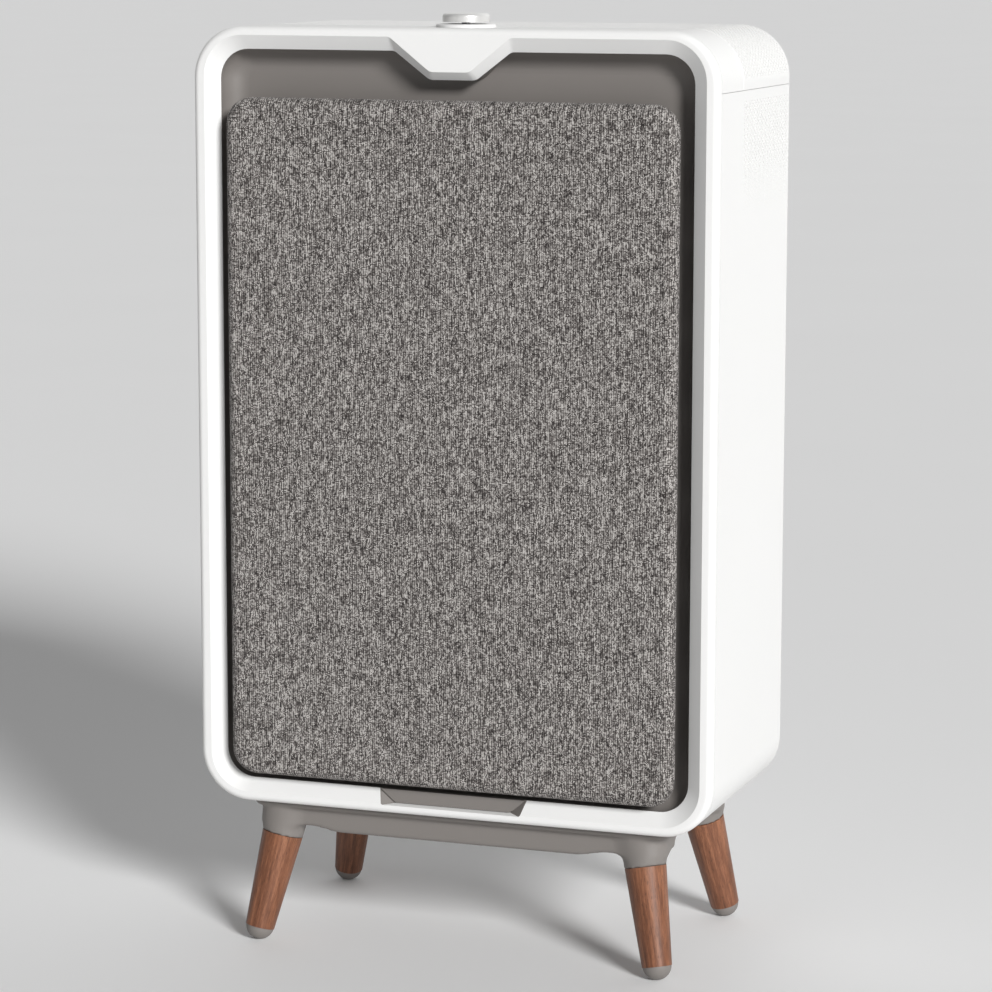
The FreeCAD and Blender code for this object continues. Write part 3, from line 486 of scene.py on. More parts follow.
@dataclass(frozen=True)
class BoardFinish(Finish):
    """Printed circuit board: solder mask with copper tracks and round pads."""

    mask: Colour = (0.012, 0.095, 0.045)
    track: Colour = (0.04, 0.22, 0.10)
    pad: Colour = (0.65, 0.60, 0.45)
    pitch: float = 2.54 * MM
    lane_columns: float = 4.0
    track_half: float = 0.14
    track_floor: float = 0.45
    pad_square: float = 0.05
    pad_floor: float = 0.72
    copper_depth: float = 0.03 * MM

    def sockets(self, graph: ShaderGraph) -> dict[str, Any]:
        """Return tracks and pads picked at random over the board's grid."""
        x, y, _ = graph.split(graph.object_place())
        column, row = (x / self.pitch).floor(), (y / self.pitch).floor()
        dx, dy = (x / self.pitch) % 1.0 - 0.5, (y / self.pitch) % 1.0 - 0.5
        chosen = graph.white_noise(graph.join(column, row, 4.0))
        lane = graph.white_noise(graph.join((x / (self.lane_columns * self.pitch)).floor(), row, 9.0))
        tracks = abs(dy).below(self.track_half) * lane.above(self.track_floor)
        pads = (dx * dx + dy * dy).below(self.pad_square) * chosen.above(self.pad_floor)
        return {"Base_Color": graph.mix(pads, graph.mix(tracks, self.mask, self.track), self.pad),
                "Roughness": 0.35 - pads * 0.1, "Metallic": pads * 0.9,
                "Normal": graph.bump((tracks * 0.5 + pads * 0.5).clamp(), self.copper_depth)}


WHITE = PlasticFinish("white_satin_plastic", (0.83, 0.828, 0.818), 0.42, mottle=0.012)
TAUPE = PlasticFinish("taupe_plastic", (0.205, 0.188, 0.175), 0.55, 0.45 * MM, 0.02 * MM)
DARK = PlasticFinish("dark_inner_plastic", (0.055, 0.052, 0.052), 0.6, 0.6 * MM, 0.03 * MM, 0.12)
BLACK = PlasticFinish("black_plastic", (0.012, 0.012, 0.013), 0.4, 0.5 * MM)
WHEEL = PlasticFinish("wheel_plastic", (0.55, 0.56, 0.57), 0.4, mottle=0.05)
PEARL = MetalFinish("pearl_dial", (0.84, 0.835, 0.82), 0.34, 0.45, (120.0, 120.0, 2500.0))
STEEL = MetalFinish("zinc_plated_steel", (0.58, 0.58, 0.60), 0.32)
MAGNET = MetalFinish("nickel_plated_magnet", (0.72, 0.70, 0.66), 0.15)
COPPER = MetalFinish("varnished_copper", (0.62, 0.27, 0.10), 0.35, 0.9, (300.0, 4000.0, 300.0), 0.02 * MM)
RUBBER = GrainFinish("grey_rubber", (0.03, 0.03, 0.03), (0.06, 0.06, 0.06), 900.0, 0.03 * MM, 0.75)
CARBON = GrainFinish("carbon_grains", (0.008, 0.008, 0.009), (0.06, 0.06, 0.062), 1400.0, 0.25 * MM, 0.7)
YARN = GrainFinish("mesh_yarn", (0.07, 0.07, 0.075), (0.12, 0.12, 0.125), 3000.0, 0.03 * MM, 0.6)
PAPER = PaperFinish("filter_paper")
BOARD = BoardFinish("circuit_board")
CLOTH = FabricFinish("heathered_cloth")

SLOT_FINISH: dict[str, Finish] = {
    "white_plastic": WHITE, "taupe_plastic": TAUPE, "inner_plastic": DARK, "black_plastic": BLACK,
    "silver": PEARL, "steel": STEEL, "magnet": MAGNET, "winding": COPPER, "rubber": RUBBER,
    "carbon": CARBON, "mesh_cloth": YARN, "filter_paper": PAPER, "circuit_board": BOARD,
    "panel_fabric": CLOTH,
}


class Dresser:
    """Gives finishes their materials, each made once."""

    def __init__(self) -> None:
        """Start with no materials made."""
        self.made: dict[str, bpy.types.Material] = {}

    def material(self, finish: Finish) -> bpy.types.Material:
        """Return the material of a finish."""
        if finish.name not in self.made:
            self.made[finish.name] = finish.material()
        return self.made[finish.name]

    def dress(self, piece: bpy.types.Object, finish: Finish) -> None:
        """Give a piece one finish all over."""
        piece.data.materials.clear()
        piece.data.materials.append(self.material(finish))


@dataclass
class Maker:
    """Something that makes pieces and has them dressed."""

    dresser: Dresser


# ---------------------------------------------------------------- mesh helpers
def link_new(name: str, data: bpy.types.ID) -> bpy.types.Object:
    """Return a new object in the scene for a mesh, a lamp or a camera."""
    piece = bpy.data.objects.new(name, data)
    bpy.context.scene.collection.objects.link(piece)
    return piece


def piece_from(name: str, work: bmesh.types.BMesh) -> bpy.types.Object:
    """Return a new object of a finished bmesh."""
    mesh = bpy.data.meshes.new(name)
    work.to_mesh(mesh)
    work.free()
    return link_new(name, mesh)


def smooth_by_angle(mesh: bpy.types.Mesh, degrees: float = 32.0) -> None:
    """Shade a mesh smooth, with its sharp edges kept."""
    mesh.polygons.foreach_set("use_smooth", [True] * len(mesh.polygons))
    mesh.set_sharp_from_angle(angle=math.radians(degrees))


def bake_in_place(piece: bpy.types.Object) -> None:
    """Work a piece's modifiers into its mesh and remove them."""
    graph = bpy.context.evaluated_depsgraph_get()
    graph.update()
    mesh = bpy.data.meshes.new_from_object(piece.evaluated_get(graph))
    piece.modifiers.clear()
    piece.data = mesh


def thicken(piece: bpy.types.Object, thickness: float, offset: float) -> None:
    """Give an open mesh a thickness.

    Args:
        piece: the open mesh.
        thickness: how thick it gets.
        offset: -1 to grow behind its faces and 1 to grow in front of them.
    """
    modifier = piece.modifiers.new("thickness", "SOLIDIFY")
    modifier.thickness = thickness
    modifier.offset = offset
    bake_in_place(piece)


def drop(piece: bpy.types.Object) -> None:
    """Remove a helper object."""
    bpy.data.objects.remove(piece, do_unlink=True)


def merged_copy(node: str, name: str) -> bpy.types.Object:
    """Return a copy of a frame node, named anew, with its loose triangles welded."""
    mesh = frame["nodes"][node].data.copy()
    work = bmesh.new()
    work.from_mesh(mesh)
    bmesh.ops.remove_doubles(work, verts=work.verts, dist=WELD)
    work.to_mesh(mesh)
    work.free()
    mesh.name = name
    if mesh.has_custom_normals:
        mesh.attributes.remove(mesh.attributes["custom_normal"])
    return link_new(name, mesh)


def block(name: str, low: Sequence[float], high: Sequence[float]) -> bpy.types.Object:
    """Return a box between two corners, used as a cutter."""
    work = bmesh.new()
    bmesh.ops.create_cube(work, size=1.0)
    for vert in work.verts:
        vert.co = Vector([low[i] if vert.co[i] < 0 else high[i] for i in range(3)])
    return piece_from(name, work)


def cut_away(piece: bpy.types.Object, cutters: Iterable[bpy.types.Object]) -> None:
    """Cut solid blocks out of a piece and remove the blocks."""
    for cutter in cutters:
        modifier = piece.modifiers.new("cut", "BOOLEAN")
        modifier.operation = "DIFFERENCE"
        modifier.solver = "EXACT"
        modifier.object = cutter
        bake_in_place(piece)
        drop(cutter)


def join_into(piece: bpy.types.Object, others: Sequence[bpy.types.Object]) -> None:
    """Add other objects' meshes, with their materials, to a piece."""
    both = [piece, *others]
    with bpy.context.temp_override(active_object=piece, object=piece, selected_objects=both,
                                   selected_editable_objects=both):
        bpy.ops.object.join()


def centre(low: Sequence[float], high: Sequence[float]) -> Colour:
    """Return the middle of a box."""
    return tuple((low[i] + high[i]) / 2.0 for i in range(3))


def place(piece: bpy.types.Object, body: Body, slot: str, *nodes: str) -> None:
    """Tell the frame where a made piece belongs.

    Args:
        piece: the finished piece.
        body: the body that carries it.
        slot: the record's material slot; not used.
        nodes: the frame nodes that it stands for.
    """
    if nodes:
        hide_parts(*nodes)
    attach(piece, body.value)
    LOG.info("%s: %d faces on %s", piece.name, len(piece.data.polygons), body.value)


# ---------------------------------------------------------------- geometry trees
class GeometryGraph(Graph):
    """A geometry node tree with named inputs, run once on a helper object."""

    KINDS = ((int, "Int"), (float, "Float"), (bpy.types.Object, "Object"), (bpy.types.Material, "Material"),
             (Sequence, "Vector"))

    def __init__(self, name: str, material: bpy.types.Material, inputs: dict[str, Any]) -> None:
        """Make the tree.

        Args:
            name: the tree's name.
            material: what its result is dressed in.
            inputs: the tree's inputs by name, each typed after its value.
        """
        group = bpy.data.node_groups.new(name, "GeometryNodeTree")
        super().__init__(group)
        self.values: dict[str, Any] = {}
        group.interface.new_socket("Geometry", in_out="OUTPUT", socket_type="NodeSocketGeometry")
        for label, value in {"Material": material, **inputs}.items():
            kind = next(word for sort, word in self.KINDS if isinstance(value, sort))
            socket = group.interface.new_socket(label, in_out="INPUT", socket_type="NodeSocket" + kind)
            self.values[socket.identifier] = value
        self.entry = group.nodes.new("NodeGroupInput")

    def __getitem__(self, label: str) -> Link:
        """Return one of the tree's named inputs."""
        return Link(self, self.entry, label)

    def attribute(self, label: str, kind: str = "FLOAT") -> Link:
        """Return an attribute stored earlier."""
        return self.add("GeometryNodeInputNamedAttribute", {"Name": label}, data_type=kind)

    def position(self) -> Link:
        """Return the place of each point."""
        return self.add("GeometryNodeInputPosition")

    def moved(self, geometry: Link, position: Link) -> Link:
        """Return a geometry with its points put elsewhere."""
        return self.add("GeometryNodeSetPosition", {"Geometry": geometry, "Position": position})

    def repeated(self, points: Link, shape: Link, scale: Any = (1.0, 1.0, 1.0)) -> Link:
        """Return a shape repeated on points."""
        return self.add("GeometryNodeInstanceOnPoints", {"Points": points, "Instance": shape, "Scale": scale})

    def tube(self, curve: Link, radius: Link, sides: int = 8) -> Link:
        """Return a capped round wire along a curve."""
        ring = self.add("GeometryNodeCurvePrimitiveCircle", {"Resolution": sides, "Radius": radius},
                        mode="RADIUS")
        return self.add("GeometryNodeCurveToMesh", {"Curve": curve, "Profile Curve": ring, "Fill Caps": True})

    def staggered(self) -> tuple[Link, Link]:
        """Return each point's place in a six-sided grid, from the inputs Columns and Pitch."""
        index, pitch = self.add("GeometryNodeInputIndex"), self["Pitch"]
        column, row = index % self["Columns"], (index / self["Columns"]).floor()
        return column * pitch * HEX_STEP, (row + (column % 2.0) * 0.5) * pitch

    def run(self, geometry: Link, name: str) -> bpy.types.Object:
        """End the tree, run it and keep its result.

        Args:
            geometry: what the tree makes, before it is realized.
            name: the new piece's name.

        Returns:
            The piece, as a plain mesh.
        """
        realized = self.add("GeometryNodeRealizeInstances", {0: geometry})
        dressed = self.add("GeometryNodeSetMaterial", {0: realized, "Material": self["Material"]})
        self.add("NodeGroupOutput", {0: dressed})
        helper = link_new(name, bpy.data.meshes.new(name))
        modifier = helper.modifiers.new(self.tree.name, "NODES")
        modifier.node_group = self.tree
        for identifier, value in self.values.items():
            modifier[identifier] = value
        bake_in_place(helper)
        return helper


# ---------------------------------------------------------------- perforated shell
@dataclass
class Perforation:
    """Round holes in a staggered field that follows the shell over its top corners."""

    pitch: float = 4.0 * MM
    hole_share: float = 0.27
    hole_sides: int = 10
    depth_share: float = 0.42
    sink: float = 0.04 * MM
    overlap: float = 0.4 * MM
    edge_share: float = 0.62
    least_size: float = 0.22
    tile_weld: float = 0.02 * MM

    def tile(self) -> bpy.types.Object:
        """Return one six-sided cell, a pitch of one unit across, with a blind hole in its middle."""
        work = bmesh.new()
        hole_layer = work.verts.layers.float.new("hole")

        def loop(sides: int, radius: float, depth: float, hole: float) -> list[Any]:
            """Return a ring of vertices, marked by whether they belong to the hole."""
            turns = [2 * math.pi * i / sides for i in range(sides)]
            verts = [work.verts.new((radius * math.cos(turn), radius * math.sin(turn), depth))
                     for turn in turns]
            for vert in verts:
                vert[hole_layer] = hole
            return verts

        rim = loop(6, 1.0 / math.sqrt(3.0), 0.0, 0.0)
        mouth, floor = (loop(self.hole_sides, self.hole_share, depth, 1.0)
                        for depth in (0.0, -self.depth_share))
        self._bridge(work, rim, mouth)
        for i in range(self.hole_sides):
            j = (i + 1) % self.hole_sides
            work.faces.new((mouth[j], mouth[i], floor[i], floor[j]))
        work.faces.new(floor)
        return piece_from("perforation_tile", work)

    def _bridge(self, work: bmesh.types.BMesh, outer: list[Any], inner: list[Any]) -> None:
        """Fill the ring between two loops with triangles, stepping by angle."""
        i = j = 0
        while i < len(outer) or j < len(inner):
            a, b = outer[i % len(outer)], inner[j % len(inner)]
            if j >= len(inner) or (i < len(outer) and (i + 1) / len(outer) <= (j + 1) / len(inner)):
                work.faces.new((a, outer[(i + 1) % len(outer)], b))
                i += 1
            else:
                work.faces.new((a, inner[(j + 1) % len(inner)], b))
                j += 1

    def field(self, name: str, material: bpy.types.Material, shell: "Shell", around: Span, depth: Span,
              fade: Span) -> bpy.types.Object:
        """Make a field of holes.

        Args:
            name: the piece's name.
            material: its material.
            shell: the shell that it follows.
            around: where it starts and ends, measured round the shell from the middle of the top.
            depth: where it starts and ends from front to back.
            fade: distances round the shell where the holes start to shrink and where they end.

        Returns:
            The field as a plain mesh.
        """
        tile = self.tile()
        graph = GeometryGraph("perforated_field", material, {
            "Tile": tile, "Pitch": self.pitch, "Sink": self.sink,
            "Columns": math.ceil((depth[1] - depth[0]) / (self.pitch * HEX_STEP)) + 1,
            "Rows": math.ceil((around[1] - around[0]) / self.pitch) + 2,
            "Around low": around[0], "Around high": around[1], "Front": depth[0], "Back": depth[1],
            "Fade from": fade[0], "Fade to": fade[1], **shell.bend_inputs()})
        pitch = graph["Pitch"]
        back, up = graph.staggered()
        points = graph.add("GeometryNodePoints", {
            "Count": graph["Columns"] * graph["Rows"],
            "Position": graph.join(graph["Front"] + back, graph["Around low"] + up, 0.0)})
        shape = graph.add("GeometryNodeObjectInfo", {"Object": graph["Tile"]}, "Geometry")
        cells = graph.repeated(points, shape, graph.join(pitch, pitch, pitch))
        marked = graph.add("GeometryNodeStoreNamedAttribute",
                           {"Geometry": cells, "Name": "cell", "Value": graph.position()},
                           data_type="FLOAT_VECTOR", domain="INSTANCE")
        loose = graph.add("GeometryNodeRealizeInstances", {0: marked})
        flat = graph.moved(loose, self._flat_place(graph))
        welded = graph.add("GeometryNodeMergeByDistance", {"Geometry": flat, "Distance": self.tile_weld})
        piece = graph.run(graph.moved(welded, shell.bent_place(graph)), name)
        drop(tile)
        self._clean(piece.data)
        return piece

    def _flat_place(self, graph: GeometryGraph) -> Link:
        """Return each vertex's place in the flat field, with edge holes closed and edge cells trimmed."""
        cell, hole = graph.attribute("cell", "FLOAT_VECTOR"), graph.attribute("hole")
        front, back, low, high = (graph[label] for label in ("Front", "Back", "Around low", "Around high"))
        deep, around, _ = graph.split(cell)
        margin = graph["Pitch"] * self.edge_share
        inside = ((deep - front).above(margin) * (back - deep).above(margin)
                  * (around - low).above(margin) * (high - around).above(margin))
        shrink = ((graph["Fade to"] - abs(around)) / (graph["Fade to"] - graph["Fade from"])).clamp()
        size = inside * shrink * shrink.above(self.least_size)
        local = graph.vector("SUBTRACT", graph.position(), cell)
        kept = graph.add("ShaderNodeVectorMath", {0: local, "Scale": 1.0 - hole * (1.0 - size)},
                         operation="SCALE")
        x, y, z = graph.split(graph.vector("ADD", cell, kept))
        return graph.join(x.clamp(front, back), y.clamp(low, high), z)

    def _clean(self, mesh: bpy.types.Mesh) -> None:
        """Remove the specks left where closed holes and trimmed cells folded up, and shade the rest."""
        work = bmesh.new()
        work.from_mesh(mesh)
        bmesh.ops.dissolve_degenerate(work, dist=WELD, edges=work.edges)
        slivers = [face for face in work.faces if face.calc_area() < SPECK_AREA]
        bmesh.ops.delete(work, geom=slivers, context="FACES")
        bmesh.ops.delete(work, geom=[vert for vert in work.verts if not vert.link_faces], context="VERTS")
        work.to_mesh(mesh)
        work.free()
        for label in ("cell", "hole"):
            if label in mesh.attributes:
                mesh.attributes.remove(mesh.attributes[label])
        smooth_by_angle(mesh)


@dataclass
class Shell(Maker):
    """White housing: top cover and side shell with their perforated fields and a border bead."""

    radius: float = 35.0 * MM
    plain_band: float = 50.6 * MM
    rear_margin: float = 11.4 * MM
    top_edge_z: float = 597.0 * MM
    side_high_z: float = 588.0 * MM
    side_low_z: float = 503.0 * MM
    fade_start_z: float = 548.0 * MM
    bead_radius: float = 0.42 * MM
    bead_sunk_share: float = 0.45
    bead_steps: int = 120
    bead_short: float = 0.3 * MM
    bead_angle: float = 60.0
    wall_cut: float = 6.0 * MM

    def __post_init__(self) -> None:
        """Read the shell's size from the frame."""
        self.low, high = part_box("top_cover")
        self.half_width, self.top = high[0], high[2]
        self.field = (self.low[1] + self.plain_band, high[1] - self.rear_margin)

    def around(self, z: float) -> float:
        """Return the distance round the shell from the middle of its top to a height on its side."""
        straight = self.half_width - self.radius
        return straight + self.radius * math.pi / 2.0 + (self.top - self.radius - z)

    def build(self) -> None:
        """Make both white pieces."""
        self.top_cover()
        self.side_shell()

    def _opened(self, node: str, windows: Iterable[tuple[str, Span, Span]]) -> bpy.types.Object:
        """Return a white copy of a frame node with windows cut for its fields.

        Args:
            node: the frame node.
            windows: each window's name, its span in x and its span in z.

        Returns:
            The copy.
        """
        lap = Perforation.overlap
        front, back = self.field[0] + lap, self.field[1] - lap
        shell = merged_copy(node, node + "_perforated")
        cut_away(shell, [block(name, (x[0], front, z[0] + lap), (x[1], back, z[1])) for name, x, z in windows])
        self.dresser.dress(shell, WHITE)
        smooth_by_angle(shell.data)
        return shell

    def top_cover(self) -> None:
        """Make the perforated top cover with a bead along the field's front border."""
        white = self.dresser.material(WHITE)
        outside = self.half_width + self.wall_cut
        window = ("top_window", (-outside, outside), (self.top_edge_z, self.top + self.wall_cut))
        cover = self._opened("top_cover", [window])
        reach = self.around(self.top_edge_z)
        field = Perforation().field("top_field", white, self, (-reach, reach), self.field,
                                    (2 * reach, 3 * reach))
        bead = self.bead("top_bead", self.around(self.low[2]) - self.bead_short, white)
        join_into(cover, [field, bead])
        place(cover, Body.HOUSING, "white_plastic", "top_cover")

    def side_shell(self) -> None:
        """Make the side shell with a fading field high on each side."""
        white = self.dresser.material(WHITE)
        outside, inside = self.half_width + self.wall_cut, self.half_width - self.wall_cut
        heights = (self.side_low_z, self.side_high_z - Perforation.overlap)
        shell = self._opened("side_shell", [("left_window", (-outside, -inside), heights),
                                            ("right_window", (inside, outside), heights)])
        near, far = self.around(self.side_high_z), self.around(self.side_low_z)
        fade = (self.around(self.fade_start_z), far)
        join_into(shell, [Perforation().field(name, white, self, span, self.field, fade)
                          for name, span in (("left_field", (-far, -near)), ("right_field", (near, far)))])
        place(shell, Body.HOUSING, "white_plastic", "side_shell")

    def bend_inputs(self) -> dict[str, float]:
        """Return the inputs that bent_place reads, apart from Sink."""
        return {"Half flat": self.half_width - self.radius, "Corner radius": self.radius, "Top": self.top}

    def bent_place(self, graph: GeometryGraph) -> Link:
        """Return each vertex's place on the shell: flat top, round corner, then straight down the side."""
        deep, around, height = graph.split(graph.position())
        radius, half = graph["Corner radius"], graph["Half flat"]
        past = (abs(around) - half).most(0.0)
        quarter = radius * (math.pi / 2.0)
        turn = past.least(quarter) / radius
        reach = radius + (height - graph["Sink"])
        x = graph.math("SIGN", around) * (abs(around).least(half) + reach * graph.math("SINE", turn))
        z = graph["Top"] - radius + reach * graph.math("COSINE", turn) - (past - quarter).most(0.0)
        return graph.join(x, deep, z)

    def bead(self, name: str, reach: float, material: bpy.types.Material) -> bpy.types.Object:
        """Return the fine raised line that follows the shell along the field's front border.

        Args:
            name: the piece's name.
            reach: how far it goes round the shell each way from the middle of the top.
            material: its material.

        Returns:
            The bead as a plain mesh.
        """
        graph = GeometryGraph("border_bead", material, {
            "Reach": reach, "Depth place": self.field[0], "Bead radius": self.bead_radius,
            "Sink": self.bead_radius * self.bead_sunk_share, **self.bend_inputs()})
        line = graph.add("GeometryNodeMeshLine", {"Count": self.bead_steps + 1}, mode="OFFSET")
        share = graph.add("GeometryNodeInputIndex") * (2.0 / self.bead_steps) - 1.0
        spread = graph.moved(line, graph.join(graph["Depth place"], share * graph["Reach"], 0.0))
        curve = graph.add("GeometryNodeMeshToCurve", {0: graph.moved(spread, self.bent_place(graph))})
        piece = graph.run(graph.tube(curve, graph["Bead radius"]), name)
        smooth_by_angle(piece.data, self.bead_angle)
        return piece


# ---------------------------------------------------------------- fabric panel
@dataclass
class FabricPanel(Maker):
    """Cloth stretched over the front panel's frame and turned in behind its edge."""

    corner_radius: float = 18.0 * MM
    edge_radius: float = 8.0 * MM
    edge_steps: int = 7
    ring_step: float = 5.0 * MM
    least_radius: float = 2.0 * MM
    corner_points: int = 9
    side_points: int = 62
    end_points: int = 42
    hem: float = 4.0 * MM
    crown: float = 0.35 * MM
    ripple: float = 0.12 * MM
    thickness: float = 1.1 * MM
    fold_angle: float = 50.0

    def __post_init__(self) -> None:
        """Read the panel's size from the frame."""
        low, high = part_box("panel_fabric")
        self.half_width = high[0]
        self.low, self.high = low[2], high[2]
        self.front, self.back = low[1], high[1]

    def ring(self, inset: float) -> list[tuple[Vector, Vector]]:
        """Return one loop round the outline.

        Args:
            inset: how far it is drawn inward.

        Returns:
            Its points with their outward directions.
        """
        radius = max(self.corner_radius - inset, self.least_radius)
        x, low, high = self.half_width - inset - radius, self.low + inset + radius, self.high - inset - radius
        corners = [(x, high, 0.0), (-x, high, 90.0), (-x, low, 180.0), (x, low, 270.0)]
        points: list[tuple[Vector, Vector]] = []
        for number, (x, z, start) in enumerate(corners):
            for step in range(self.corner_points):
                out = self._outward(start + 90.0 * step / (self.corner_points - 1))
                points.append((Vector((x, z)) + out * radius, out))
            here = points[-1][0]
            after_x, after_z, after_start = corners[(number + 1) % 4]
            out = self._outward(after_start)
            there = Vector((after_x, after_z)) + out * radius
            count = (self.end_points, self.side_points)[number % 2]
            points.extend((here.lerp(there, step / count), out) for step in range(1, count))
        return points

    def _outward(self, degrees: float) -> Vector:
        """Return the direction at an angle."""
        return Vector((math.cos(math.radians(degrees)), math.sin(math.radians(degrees))))

    def profile(self) -> list[tuple[float, float, float]]:
        """Return the cloth's section from the hem to the middle: inset, y, and length past the flat front."""
        stops = [(self.hem, self.back + 0.2 * MM), (0.8 * MM, self.back), (0.0, self.back - 1.0 * MM)]
        for step in range(self.edge_steps + 1):
            turn = math.pi / 2.0 * step / self.edge_steps
            stops.append((self.edge_radius * (1.0 - math.cos(turn)),
                          self.front + self.edge_radius * (1.0 - math.sin(turn))))
        flat = len(stops) - 1
        inset = self.edge_radius + self.ring_step
        while inset < self.half_width - self.ring_step:
            stops.append((inset, self.front))
            inset += self.ring_step
        measured: list[tuple[float, float, float]] = []
        length = 0.0
        for number in range(len(stops) - 1, -1, -1):
            inset, y = stops[number]
            if number < flat:
                length += math.hypot(inset - stops[number + 1][0], y - stops[number + 1][1])
            measured.append((inset, y, length))
        return measured[::-1]

    def build(self) -> None:
        """Make the cloth."""
        work = bmesh.new()
        uv_layer = work.loops.layers.uv.new(CLOTH.uv_name)
        flat_places: dict[Any, Vector] = {}
        rings = []
        for inset, y, extra in self.profile():
            ring = []
            for point, out in self.ring(inset):
                vert = work.verts.new(self._raised(point, y))
                flat_places[vert] = self._unrolled(point, out, inset, extra)
                ring.append(vert)
            rings.append(ring)
        for outer, inner in zip(rings, rings[1:]):
            for i in range(len(outer)):
                j = (i + 1) % len(outer)
                work.faces.new((outer[i], inner[i], inner[j], outer[j]))
        work.faces.new(rings[-1][::-1])
        for face in work.faces:
            for loop in face.loops:
                loop[uv_layer].uv = flat_places[loop.vert]
        bmesh.ops.recalc_face_normals(work, faces=work.faces)
        cloth = piece_from("fabric_cover", work)
        thicken(cloth, self.thickness, -1.0)
        smooth_by_angle(cloth.data, self.fold_angle)
        self.dresser.dress(cloth, CLOTH)
        place(cloth, Body.FRONT_PANEL, "panel_fabric", "panel_fabric")

    def _raised(self, point: Vector, y: float) -> Vector:
        """Return a point of the cloth, a little crowned and uneven where it spans the frame's openings."""
        x, z = point
        middle = (self.low + self.high) / 2.0
        share = (max(0.0, 1.0 - (x / self.half_width) ** 2)
                 * max(0.0, 1.0 - ((z - middle) / (self.high - middle)) ** 2))
        wave = math.sin(x * 190.0 + math.sin(z * 31.0)) * math.sin(z * 130.0 + math.cos(x * 47.0))
        flatness = 1.0 if y <= self.front + WELD else 0.0
        inward = self.crown * (1.0 - share) + self.ripple * (1.0 + wave) * 0.5
        return Vector((x, y + flatness * inward, z))

    def _unrolled(self, point: Vector, out: Vector, inset: float, extra: float) -> Vector:
        """Return the point's place on the flat cloth."""
        past = extra - max(self.edge_radius - inset, 0.0) if extra > 0.0 else 0.0
        return point + out * past


# ---------------------------------------------------------------- bezel
@dataclass
class BezelRing(Maker):
    """White bezel whose notch at the bottom has its end facets, those turned in toward the notch's middle,
    coloured taupe.
    """

    notch_half: Span = (40.0 * MM, 53.5 * MM)
    notch_low: float = 106.2 * MM
    plate_lap: float = 1.0 * MM
    facing: float = 0.12

    def build(self) -> None:
        """Make the bezel."""
        bezel = merged_copy("front_bezel", "bezel_ring")
        self.dresser.dress(bezel, WHITE)
        bezel.data.materials.append(self.dresser.material(TAUPE))
        near, far = self.notch_half
        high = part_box("notch_plate")[1][2] + self.plate_lap
        for face in bezel.data.polygons:
            middle = face.center
            inside = near < abs(middle.x) < far and self.notch_low < middle.z < high
            turned_in = face.normal.x * math.copysign(1.0, middle.x) < -self.facing
            face.material_index = int(inside and turned_in)
        smooth_by_angle(bezel.data)
        place(bezel, Body.HOUSING, "white_plastic", "front_bezel")


